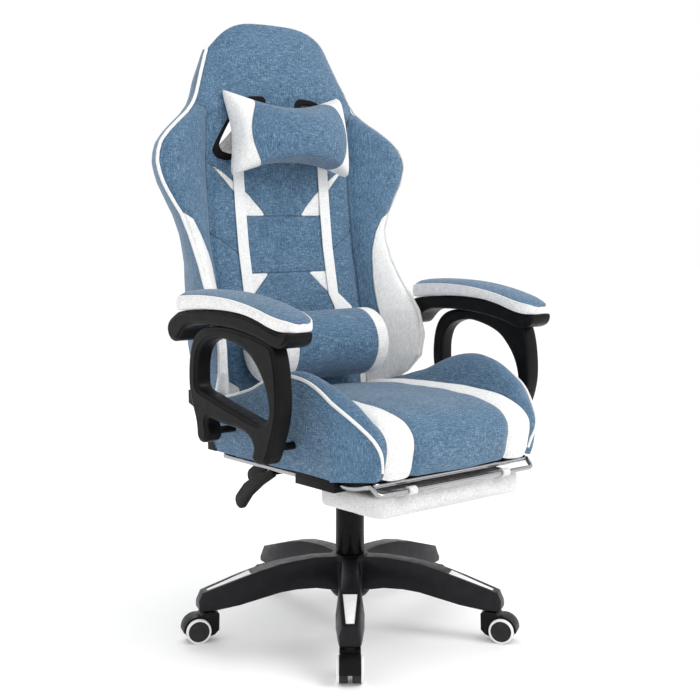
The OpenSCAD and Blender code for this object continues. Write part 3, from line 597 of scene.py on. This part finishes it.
def back_piping():
    """Piping up both sides of the back and over the head."""
    right = [[at(EDGE, s) + 2.2, at(EDGE, s, 2) + 0.5, s] for s in np.arange(476, BACK_TOP, 4.0)]
    left = [[-x, y, z] for x, y, z in right[::-1]]
    top = []
    for u in np.linspace(1, -1, 80):
        x, z = u * at(EDGE, BACK_TOP), BACK_TOP + at(HEAD_RISE, BACK_TOP) * (1 - abs(u) ** HEAD_ROUND)
        y = front_depth(np.array([x]), np.array([BACK_TOP]), np.array([z]))[0]
        top.append([x * 1.01, y + 2, z + 2])
    path = catmull(np.array(right + top + left)[::2], 5, False)
    tube("back_piping", path, PIPING_R, M_PIPING, "back")


def harness_trims():
    """Black lip round each harness slot, and the wall through the back."""
    outline, centre = catmull(SLOT, 5), np.array([98, 1018])
    inner = (outline - centre) * 0.84 + centre
    lip = (outline - centre) * 1.05 + centre
    front, rear = at(FACE, 1015), at(REAR, 1015)
    for side, name in ((1, "left"), (-1, "right")):
        flip = np.array([side, 1])
        plate(f"slot_lip_{name}", [lip * flip, inner * flip], front - 6, front + 4, 2, M_BLACK,
                           "back", facing="y")
        plate(f"slot_wall_{name}", [outline * flip, inner * flip], front - 3, rear + 4, 1.5, M_BLACK,
              "back", facing="y")
    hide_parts("harness_trims")


# ---- seat ----
def seat_profile(x):
    """[y, z] points of the seat's section at distance x, from the rear over the front to the underside."""
    a = abs(x)
    rise = CREST * np.interp(a, [184, 192, 200, 216, 232, 246, 254, 256],
                             [0, 0.3, 0.55, 0.88, 1, 0.9, 0.68, 0.6])
    f = np.interp(a, [184, 200, 216, 232, 246, 256], [0, 8, 20, 34, 46, 54])
    rows = [[SEAT_REAR, SEAT_Z - 60], [SEAT_REAR, SEAT_Z - 14], [54, SEAT_Z - 5 + rise * 0.15],
            [0, SEAT_Z + 1 + rise * 0.35], [-50, SEAT_Z + 3 + rise * 0.75], [-109, SEAT_Z + 4 + rise],
            [-170, SEAT_Z + 4 + rise], [-222 + f * 0.3, SEAT_Z + 1 + rise * 0.8],
            [-262 + f * 0.5, SEAT_Z - 5 + rise * 0.5], [-296 + f * 0.75, SEAT_Z - 17 + rise * 0.15],
            [SEAT_FRONT + 2 + f, SEAT_Z - 38], [SEAT_FRONT - 2 + f, SEAT_Z - 60],
            [SEAT_FRONT + 1 + f, SEAT_Z - 78], [SEAT_FRONT + 5 + f, SEAT_LOW + 14],
            [SEAT_FRONT + 11 + f, SEAT_LOW]]
    return catmull(rows, 5.0, False)


def resample(path, count):
    """The path with points evenly spaced along it."""
    d = np.concatenate([[0], np.cumsum(np.linalg.norm(np.diff(path, axis=0), axis=1))])
    t = np.linspace(0, d[-1], count)
    return np.stack([np.interp(t, d, path[:, k]) for k in range(path.shape[1])], 1)


# columns across the seat, points from rear to underside, and steps down each side
SEAT_COLUMNS, SEAT_POINTS, SEAT_SIDE = 107, 120, 16


def seat_top(xs):
    """Sections across the seat, swollen between the seams."""
    top = np.array([np.column_stack([np.full(SEAT_POINTS, x), resample(seat_profile(x), SEAT_POINTS)])
                    for x in xs])
    a = np.abs(xs)[:, None]
    middle = 5 * np.cos(a / SEAT_SEAM * math.pi / 2) ** 0.7
    stripe = 4 * np.sin(np.clip((a - SEAT_SEAM) / (MIDDLE - SEAT_SEAM), 0, 1) * math.pi)
    puff = np.where(a < SEAT_SEAM, middle, stripe) + 5 * np.sin(np.clip((a - MIDDLE) / 60, 0, 1) * math.pi)
    groove = 3.5 * np.exp(-((a - SEAT_SEAM) / 6) ** 2) + 5 * np.exp(-((a - MIDDLE) / 8) ** 2)
    dy, dz = np.gradient(top[:, :, 1], axis=1), np.gradient(top[:, :, 2], axis=1)
    shift = (puff - groove) * smoothstep(0, 14, np.arange(SEAT_POINTS))[None, :] / np.hypot(dy, dz)
    top[:, :, 1] += shift * dz
    top[:, :, 2] -= shift * dy
    return top


def seat_sides(top):
    """Rows from each outer edge down and in to the underside."""
    sides = ([], [])
    for t in np.arange(1, SEAT_SIDE + 1) / SEAT_SIDE:
        for store, edge, sign in zip(sides, (top[0], top[-1]), (-1, 1)):
            y = np.clip(edge[:, 1], SEAT_FRONT + 65, SEAT_REAR - 2)
            base = np.column_stack([np.full(SEAT_POINTS, sign * (SEAT_HALF - 3.0)), y,
                                    np.full(SEAT_POINTS, SEAT_LOW)])
            p = edge * (1 - t) + base * t
            p[:, 0] += sign * 8.1 * math.sin(math.pi * min(1, t * 1.05)) ** 0.7
            store.append(p)
    return sides


def seat_surface(xs):
    """Grid of points over the whole seat, with its long edges rounded off."""
    top = seat_top(xs)
    left, right = seat_sides(top)
    grid = np.array(left[::-1] + list(top) + right)
    row = np.arange(len(grid))
    from_edge = np.minimum(abs(row - SEAT_SIDE), abs(row - SEAT_SIDE - len(xs) + 1))
    weight = (0.5 * (1 - smoothstep(4, 12, from_edge)))[1:-1, None, None]
    weight = weight * (0.3 + 0.7 * smoothstep(60, 85, np.arange(SEAT_POINTS)))[None, :, None]
    for _ in range(50):
        grid[1:-1] += weight * ((grid[:-2] + grid[2:]) / 2 - grid[1:-1])
    return grid


def seat_piping(grid, xs):
    """Piping along the top of each bolster and down to the front corners."""
    for sign, name in ((-1, "right"), (1, "left")):
        path = []
        for i in range(6, SEAT_POINTS - 3):
            x = 244 - 57 * smoothstep(0.70, 0.99, i / (SEAT_POINTS - 1))
            j = np.interp(x, xs, np.arange(len(xs)))
            j0 = min(int(j), len(xs) - 2)
            near, far = grid[SEAT_SIDE + j0, i], grid[SEAT_SIDE + j0 + 1, i]
            p = near * (1 - (j - j0)) + far * (j - j0)
            path.append([sign * p[0], p[1], p[2] + 1])
        tube(f"seat_piping_{name}", catmull(np.array(path)[::2], 5, False), PIPING_R, M_PIPING, "seat")


def seat_shell():
    xs = np.linspace(-SEAT_HALF, SEAT_HALF, SEAT_COLUMNS)
    grid = seat_surface(xs)
    n, m = grid.shape[:2]
    verts = grid.reshape(-1, 3)
    faces = [(i * m + j, (i + 1) * m + j, (i + 1) * m + j + 1, i * m + j + 1)
             for i in range(n - 1) for j in range(m - 1)]
    faces.append(tuple(i * m for i in range(n)))
    ripple = soft_noise(verts, 0.018, 2.0) * 1.8
    seat = make("seat_shell", verts + ripple[:, None] * [0, 0, 1], faces, M_PANELS, "seat")
    row = np.repeat(np.arange(n), m)
    on_top = (row >= SEAT_SIDE) & (row < SEAT_SIDE + len(xs))
    from_stripe = np.abs(np.abs(coords(seat.data)[:, 0]) / MM - STRIPE)
    attribute(seat.data, "white", np.where(on_top, STRIPE_HALF - from_stripe, -40) * MM)
    attribute(seat.data, "panel", np.full(n * m, 40) * MM)
    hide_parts("seat_cushion", "seat_bolster_left", "seat_bolster_right")
    seat_piping(grid, xs)


# ---- pillows, pads and straps ----
def fit_box(co, node):
    """Scales points, in metres, to fill a CAD node's box."""
    lo, hi = (np.array(corner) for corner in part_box(node))
    a, b = co.min(0), co.max(0)
    return lo + (co - a) / (b - a) * (hi - lo)


def inflate(me, pressure, frames, stiff):
    """Cloth pressure on a closed mesh, as filling pushes out a sewn cover."""
    obj = link(bpy.data.objects.new("filling", me))
    mod = obj.modifiers.new("cloth", "CLOTH")
    c = mod.settings
    c.quality, c.mass, c.tension_stiffness, c.compression_stiffness = 5, 0.3, stiff, stiff
    c.shear_stiffness, c.bending_stiffness = 5.0, 0.8
    c.use_pressure, c.uniform_pressure_force = True, pressure
    c.effector_weights.gravity = 0.0
    mod.point_cache.frame_start, mod.point_cache.frame_end = 1, frames
    scene = bpy.context.scene
    for f in range(1, frames + 1):
        scene.frame_set(f)
    me = evaluated(obj)
    scene.frame_set(1)
    return me


def subdivided(me):
    return modified(me, "SUBSURF", levels=1, render_levels=1)


def voxel(node, size):
    """The CAD node as an even, softened mesh."""
    me = modified(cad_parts[node].data.copy(), "REMESH", mode="VOXEL", voxel_size=size * MM)
    return modified(me, "SMOOTH", factor=0.5, iterations=10)


def pillow_mesh(half_w, half_h, thick, pinch, n=44, m=30):
    """Two panels sewn round their edge, with drawn-in sides between the corners."""
    verts, faces = [], []
    index = {}
    for side in (1, -1):
        for i in range(n + 1):
            for j in range(m + 1):
                u, v = 2 * i / n - 1, 2 * j / m - 1
                if side == -1 and (i in (0, n) or j in (0, m)):
                    index[side, i, j] = index[1, i, j]
                    continue
                corner = 1 - 0.07 * abs(u * v) ** 7
                x = half_w * u * (1 - pinch[0] * (1 - v * v) * abs(u)) * corner
                z = half_h * v * (1 - pinch[1] * (1 - u * u) * abs(v)) * corner
                index[side, i, j] = len(verts)
                verts.append([x, -side * thick * ((1 - u ** 2) * (1 - v ** 2)) ** 0.42, z])
        for i in range(n):
            for j in range(m):
                q = [index[side, i, j], index[side, i + 1, j], index[side, i + 1, j + 1], index[side, i, j + 1]]
                faces.append(tuple(q if side == 1 else q[::-1]))
    return mesh("pillow", verts, faces)


# head pillow: height of its middle and half height, y of the plane of its outer seam, how far the plane
# leans back at the top, and how far the front and the rear swell from it
PILLOW_Z, PILLOW_HALF = 1001, 86
PILLOW_PLANE, PILLOW_LEAN, PILLOW_FRONT, PILLOW_REAR = 207, 15, 78, 13
# |x| of the white ends at mid height, and how much nearer they come at the corners
PILLOW_SEAM, PILLOW_SEAM_CURVE = 122, 38


def head_pillow():
    me = subdivided(inflate(pillow_mesh(150, 87, 42, (0.10, 0.34)), 3.0, 14, 20))
    co = fit_box(coords(me), "head_pillow")
    lo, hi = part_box("head_pillow")
    swell = (co[:, 1] - (lo[1] + hi[1]) / 2) / ((hi[1] - lo[1]) / 2)
    up = (co[:, 2] / MM - PILLOW_Z) / PILLOW_HALF
    depth = np.where(swell < 0, swell * PILLOW_FRONT, swell * PILLOW_REAR)
    co[:, 1] = (PILLOW_PLANE + up * PILLOW_LEAN + depth) * MM
    put(me, co)
    seam = PILLOW_SEAM - PILLOW_SEAM_CURVE * np.clip(np.abs(up), 0, 1) ** 2
    attribute(me, "white", np.abs(co[:, 0]) - seam * MM)
    attribute(me, "panel", np.full(len(co), 0.04))
    obj = dress(me, "head_pillow_cover", M_PANELS, "back")
    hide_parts("head_pillow")


# lumbar pillow: half length, radius, length of the rounded end, and |x| of the seam and of the end panel
LUMBAR_HALF, LUMBAR_R, LUMBAR_ROUND = 144, 70, 14
LUMBAR_SEAM, LUMBAR_END = 103, 136.0
LUMBAR_RINGS, LUMBAR_SIDES = 48, 48
# length against the CAD solid, and how much more the right-hand end is drawn out past x = -100
LUMBAR_LONGER, LUMBAR_DRAWN, LUMBAR_DRAWN_FROM = 1.04, 0.22, -100


def lumbar_roll():
    """Cylinder with rounded shoulders and slightly domed ends."""
    verts, sides = [], LUMBAR_SIDES
    for u in np.linspace(-1, 1, LUMBAR_RINGS + 1):
        past = max(0, abs(u) * LUMBAR_HALF - (LUMBAR_HALF - LUMBAR_ROUND)) / LUMBAR_ROUND
        r = LUMBAR_R * (1 - past ** 2.2 * 0.35)
        verts += [[u * LUMBAR_HALF, y, z] for y, z in
                  [(r * math.cos(t), r * math.sin(t)) for t in np.arange(sides) * 2 * math.pi / sides]]
    faces = ring_faces(LUMBAR_RINGS + 1, sides, capped=False)
    for end, sign in ((0, -1), (LUMBAR_RINGS, 1)):
        rim = verts[end * sides:(end + 1) * sides]
        last = [end * sides + k for k in range(sides)]
        for f in (0.8, 0.6, 0.4, 0.2):
            here = [len(verts) + k for k in range(sides)]
            verts += [[x + sign * 5 * (1 - f * f), y * f, z * f] for x, y, z in rim]
            faces += [(last[k], last[(k + 1) % sides], here[(k + 1) % sides], here[k]) for k in range(sides)]
            last = here
        faces.append(tuple(last))
    return mesh("lumbar", verts, faces)


def lumbar_pillow():
    me = subdivided(inflate(lumbar_roll(), 2.0, 10, 25))
    co = fit_box(coords(me), "lumbar_pillow") * [LUMBAR_LONGER, 1, 1]
    co[:, 0] += LUMBAR_DRAWN * np.minimum(co[:, 0] - LUMBAR_DRAWN_FROM * MM, 0)
    put(me, co)
    x = np.abs(co[:, 0]) / MM
    attribute(me, "white", (x - LUMBAR_SEAM) * MM)
    attribute(me, "panel", (LUMBAR_END - x) * MM)
    obj = dress(me, "lumbar_pillow_cover", M_PANELS, "back")
    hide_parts("lumbar_pillow")


# arm pad: x of its middle, seam in from the edge, rise of the crown, and how square its section is
PAD_X, PAD_SEAM, PAD_CROWN, PAD_SQUARE = 303, 3.0, 11, 0.36
PAD_FRONT, PAD_REAR, PAD_SIDES = -241, 101, 56
# along y: half width, height of the top and height of the underside
PAD_HALF = [[-241, 5], [-240, 11], [-236, 19], [-229, 27], [-220, 33], [-206, 38.5], [-188, 41.5],
            [-170, 42], [88, 42], [98, 41], [101, 38]]
PAD_TOP = [[-241, 652], [-239, 658], [-234, 663], [-226, 667], [-206, 672], [-180, 679], [-140, 688],
           [-87, 696], [-31, 700], [30, 700], [88, 696], [98, 692], [101, 688]]
PAD_UNDER = [[-241, 648], [-239, 642], [-234, 638], [-212, 638], [-186, 644], [-155, 653], [-115, 661],
             [-65, 665], [-9, 665], [49, 662], [98, 657], [101, 660]]


def pad_height(y, x, w, up, low):
    """Height of the pad's upper face at x from its middle, on a section of half width w."""
    rise = min(PAD_CROWN, 0.45 * (up - low))
    q = min(1, abs(x) / w)
    side = math.sqrt(max(0, 1 - q ** (2 / PAD_SQUARE))) ** PAD_SQUARE
    ends = max(0, min(1, (PAD_REAR - y) / 10, (y - PAD_FRONT + 2) / 40))
    return (up - rise + low) / 2 + (up - rise - low) / 2 * side + rise * (1 - q * q) ** 0.75 * ends ** 0.5


def pad_sections():
    """[y, half width, top, underside] from the front of the pad to its rear."""
    ys = np.concatenate([np.linspace(PAD_FRONT, -225, 9), np.arange(-221, 96, 4.0), [97, 99.5, PAD_REAR]])
    tables = [catmull(table, 4, False) for table in (PAD_HALF, PAD_TOP, PAD_UNDER)]
    return [[float(y)] + [float(at(table, y)) for table in tables] for y in ys]


def arm_pad(name, sign):
    node = f"arm_pad_{name}"
    rows, verts, white = pad_sections(), [], []
    for y, w, up, low in rows:
        for a in np.arange(PAD_SIDES) * 2 * math.pi / PAD_SIDES:
            c, d = math.cos(a), math.sin(a)
            x = w * math.copysign(abs(c) ** PAD_SQUARE, c)
            under = (up + low) / 2 - (up - low) / 2 * abs(d) ** PAD_SQUARE
            verts.append([sign * (PAD_X + x), y, pad_height(y, x, w, up, low) if d > 0 else under])
            from_edge = min(w - abs(x), PAD_REAR - y, y - PAD_FRONT)
            white.append(PAD_SEAM - from_edge if d > 0 else 20)
    obj = make(f"{node}_cover", verts, ring_faces(len(rows), PAD_SIDES), M_PANELS, "seat")
    attribute(obj.data, "white", np.array(white) * MM)
    attribute(obj.data, "panel", np.full(len(verts), 0.04))
    seam = [[w - PAD_SEAM, y, pad_height(y, w - PAD_SEAM, w, up, low) - 0.6] for y, w, up, low in rows
            if PAD_FRONT + PAD_SEAM <= y <= PAD_REAR - PAD_SEAM]
    seam += [[-x, y, z] for x, y, z in seam[::-1]]
    tube(f"arm_pad_{name}_piping", [[sign * (PAD_X + x), y, z] for x, y, z in seam], 1.8, M_PIPING, "seat",
         closed=True)
    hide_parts(node)


def footrest_pad():
    me = subdivided(inflate(voxel("footrest_cushion", 6), 2.0, 8, 30))
    put(me, fit_box(coords(me), "footrest_cushion") * [FOOT_WIDER, 1, 1])
    obj = dress(me, "footrest_cover", M_WHITE, "footrest")
    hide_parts("footrest_cushion")


# webbing: inner and outer |x|, lowest and highest point, and the height below which it spreads
STRAP_IN, STRAP_OUT, STRAP_LOW, STRAP_HIGH, STRAP_SPREAD = 98, 124, 626, 950, 668


def straps():
    for sign, name in ((1, "left"), (-1, "right")):
        verts, zs = [], np.arange(STRAP_LOW, STRAP_HIGH, 6.0)
        for z in zs:
            spread = float(np.clip((STRAP_SPREAD - z) / 31, 0, 1))
            a, b = STRAP_IN + 12 * spread, STRAP_OUT + 34 * spread
            y = at(FACE, z) - 8.4
            for x, dy in ((a, 0.6), (a + 3, 0), (b - 3, 0), (b, 0.6), (b, 2.4), (a, 2.4)):
                verts.append([sign * x, y + dy, z])
        make(f"strap_{name}", verts, ring_faces(len(zs), 6), M_PIPING, "back", 40)
    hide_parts("straps")


# ---- armrests ----
def arm(name, sign):
    """Loop and beam with a raised ridge, spacers to the seat and bolt heads in rings on its outer face."""
    inner, outer = ARM_OUTER - ARM_THICK, sign * ARM_OUTER
    loop, hole, beam = catmull(LOOP, 5), catmull(LOOP_HOLE, 5), catmull(BEAM, 5)
    main = plate(f"arm_loop_{name}", [loop, hole], sign * inner, outer, 6, M_BLACK, "seat")
    plate(f"arm_beam_{name}", [beam], sign * (ARM_OUTER - BEAM_THICK), outer, 5, M_BLACK, "seat")
    plate(f"arm_ridge_{name}", [beam], sign * (ARM_OUTER - 20), sign * (ARM_OUTER + 2), 1.5, M_BLACK, "seat",
          inset=6)
    plate(f"arm_loop_ridge_{name}", [loop, hole], sign * (inner + 3), sign * (ARM_OUTER + 1.6), 1.5, M_BLACK,
          "seat", inset=7)
    for i, (y, z) in enumerate(ARM_HOLES):
        plate(f"arm_boss_{name}_{i}", [circle(y, z, 7)], sign * (SEAT_HALF + 1), sign * (inner + 1), 1,
              M_BLACK, "seat")
    for i, (y, z) in enumerate(ARM_HOLES + [ARM_REAR_HOLE]):
        for r, x0, x1, mat in ((10, ARM_OUTER - 6, ARM_OUTER + 0.8, M_BLACK),
                               (7.4, ARM_OUTER - 5, ARM_OUTER + 1.1, M_GLOSS)):
            plate(f"arm_bolt_{name}_{i}_{int(r)}", [circle(y, z, r)], sign * x0, sign * x1, 0.8, mat, "seat")
    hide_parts(f"arm_frame_{name}")


# ---- footrest rail ----
def rounded_path(points, radius):
    """The path with a round bend at each of its inner points."""
    pts = [np.array(p, float) for p in points]
    out = [pts[0]]
    for a, b, c in zip(pts, pts[1:], pts[2:]):
        u, v = (a - b) / np.linalg.norm(a - b), (c - b) / np.linalg.norm(c - b)
        p, q = b + u * radius, b + v * radius
        for t in np.linspace(0, 1, 9):
            out.append(p * (1 - t) ** 2 + 2 * b * t * (1 - t) + q * t * t)
    return out + [pts[-1]]


def both_ways(half):
    """A path from the right-hand side, carried on to the left-hand side."""
    return half + [[-x, y, z] for x, y, z in half[::-1]]


def footrest_rail():
    front = [-RAIL_FRONT_HALF, RAIL_FRONT, RAIL_FRONT_Z]
    path = both_ways([[-RAIL_HALF, RAIL_REAR, RAIL_Z], [-RAIL_HALF, RAIL_BEND, RAIL_Z], front])
    rail = tube("footrest_rails", rounded_path(path, 17), RAIL_R, M_CHROME, "footrest_slider", sides=20)
    low = both_ways([front, [-PIVOT_HALF, PIVOT_Y, PIVOT_Z]])
    tube("footrest_pivot_rod", rounded_path(low, 10), PIVOT_R, M_CHROME, "footrest_slider", sides=16)
    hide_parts("footrest_rail")


# ---- casters ----
def wheel(node, k, side, body):
    """One wheel of the caster on leg k: a dark disc with a white tyre, turned round its axle."""
    half, sides = WHEEL_W / 2, 64
    profile = [[0.01, half - 1.0], [8, half - 0.8], [10, half - 1.6], [18.6, half - 1.6], [20.2, half - 1.1],
               [20.5, half - 1.2], [20.9, half + 0.1], [23.2, half + 0.1], [24.6, half - 1.4],
               [WHEEL_R, half - 5], [WHEEL_R, 4 - half], [24.6, 1.4 - half], [23.2, -half], [20.6, -half],
               [20.2, 1.2 - half], [3.05, 1.2 - half]]
    n, tyre = len(profile), (5, 6, 7, 8)
    verts = [[CASTER_REACH + CASTER_TRAIL + r * math.cos(t), side * (WHEEL_GAP + half + y),
              WHEEL_R + r * math.sin(t)] for t in np.arange(sides) * 2 * math.pi / sides for r, y in profile]
    faces = [(a * n + j, a * n + (j + 1) % n, (a + 1) % sides * n + (j + 1) % n, (a + 1) % sides * n + j)
             for a in range(sides) for j in range(n)]
    turn = Matrix.Rotation(math.radians(FIRST_LEG + (k - 1) * LEG_TURN), 3, "Z")
    me = mesh(node, np.array(verts) @ np.array(turn).T, faces)
    obj = dress(me, node + "_tyre", [M_TYRE, M_DISC], body, 40)
    slots = [0 if j in tyre else 1 for j in range(n)]
    obj.data.polygons.foreach_set("material_index", slots * sides)
    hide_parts(node)


def casters():
    for k in range(1, 6):
        refine(f"caster_{k}_hood", 1.3, M_BLACK, f"caster_{k}")
        refine(f"caster_{k}_pin", 0.5, M_STEEL, f"caster_{k}")
        # the left wheel lies on the -Y side of its own leg
        wheel(f"caster_{k}_wheel_left", k, -1, f"caster_{k}_left")
        wheel(f"caster_{k}_wheel_right", k, 1, f"caster_{k}_right")


# ---- hard parts that keep their CAD shape, with rounded edges ----
# [node, width of the rounded edge, material, body]
HARD_PARTS = [
    ["star_base", 2.6, M_BASE, "base"],
    ["leg_inserts", 0.8, M_INSERT, "base"],
    ["gas_cylinder", 0.5, M_METAL, "base"],
    ["gas_cover_lower", 0.6, M_GLOSS, "base"],
    ["gas_cover_upper", 0.6, M_GLOSS, "lift"],
    ["gas_piston", 0.6, M_CHROME, "lift"],
    ["mechanism_housing", 1.5, M_METAL, "mechanism"],
    ["rocking_pin", 0.6, M_STEEL, "mechanism"],
    ["tension_knob", 1.2, M_BLACK, "knob"],
    ["height_lever", 2.0, M_BLACK, "height_lever"],
    ["recline_lever", 2.0, M_BLACK, "recline_lever"],
    ["seat_plate", 0.8, M_METAL, "seat"],
    ["seat_frame", 0.8, M_METAL, "seat"],
    ["seat_pan", 1.5, M_LINING, "seat"],
    ["recliner_left", 1.0, M_METAL, "seat"],
    ["recliner_right", 1.0, M_METAL, "seat"],
    ["arm_bolts", 0.6, M_STEEL, "seat"],
    ["footrest_guides", 2.5, M_BLACK, "seat"],
    ["footrest_board", 1.0, M_WHITE, "footrest"],
    ["back_frame", 0.6, M_METAL, "back"],
]


def narrow_loops(board):
    """Draws in the sides of the footrest board's two loops on the rod."""
    co = coords(board.data)
    middle = np.sign(co[:, 0]) * LOOP_X * MM
    narrow = middle + (co[:, 0] - middle) * LOOP_NARROWER
    co[:, 0] = np.where(co[:, 1] < LOOP_FRONT * MM, narrow, co[:, 0])
    put(board.data, co)


def hard_parts():
    pieces = {part[0]: refine(*part) for part in HARD_PARTS}
    narrow_loops(pieces["footrest_board"])


# ---- studio ----
FLOOR_HALF = 14
# [name, place in metres, power in watts, size]
LIGHTS = [["key", (1.4, -2.6, 3.2), 60, 1.8],
          ["fill", (-3.2, -1.6, 1.6), 6, 2.0],
          ["rim", (0.8, 2.8, 2.6), 25, 1.6]]
LIT_POINT = (0, 0, 0.7)
CAMERA_PLACE, CAMERA_AIM, CAMERA_LENS = (-1.5795, -1.8789, 0.8384), (0.6396, 0.7608, -0.1099), 63.3


def floor():
    s = Shader("studio_floor", 0.9, specular=0.1)
    s.set("Emission Color", (1, 1, 1, 1))
    s.set("Emission Strength", 0.08)
    s.set("Base Color", s.mix(s.noise((1, 1, 1), 3, 2), (0.93, 0.93, 0.93), (0.96, 0.96, 0.96)))
    me = bpy.data.meshes.new("floor")
    corners = [(x * FLOOR_HALF, y * FLOOR_HALF, 0) for x, y in ((-1, -1), (1, -1), (1, 1), (-1, 1))]
    me.from_pydata(corners, [], [(0, 1, 2, 3)])
    me.materials.append(s.mat)
    link(bpy.data.objects.new("floor", me))


def aimed(name, data, place, direction):
    """Lamp or camera that looks along a direction."""
    obj = link(bpy.data.objects.new(name, data))
    obj.location = place
    obj.rotation_mode = "QUATERNION"
    obj.rotation_quaternion = Vector(direction).to_track_quat("-Z", "Y")
    return obj


def studio():
    scene = bpy.context.scene
    scene.world = scene.world or bpy.data.worlds.new("world")
    scene.world.use_nodes = True
    sky = scene.world.node_tree.nodes["Background"]
    sky.inputs[0].default_value, sky.inputs[1].default_value = (1, 1, 1, 1), 1.0
    for name, place, power, size in LIGHTS:
        light = bpy.data.lights.new(name, "AREA")
        light.energy, light.size = power, size
        aimed(name, light, place, Vector(LIT_POINT) - Vector(place))
    cam = bpy.data.cameras.new("camera")
    cam.lens, cam.sensor_width = CAMERA_LENS, 36
    scene.camera = aimed("camera", cam, CAMERA_PLACE, CAMERA_AIM)
    scene.view_settings.view_transform = "Standard"


back_shell()
back_piping()
harness_trims()
straps()
seat_shell()
head_pillow()
lumbar_pillow()
arm_pad("left", 1)
arm_pad("right", -1)
footrest_pad()
arm("left", 1)
arm("right", -1)
footrest_rail()
casters()
hard_parts()
floor()
studio()
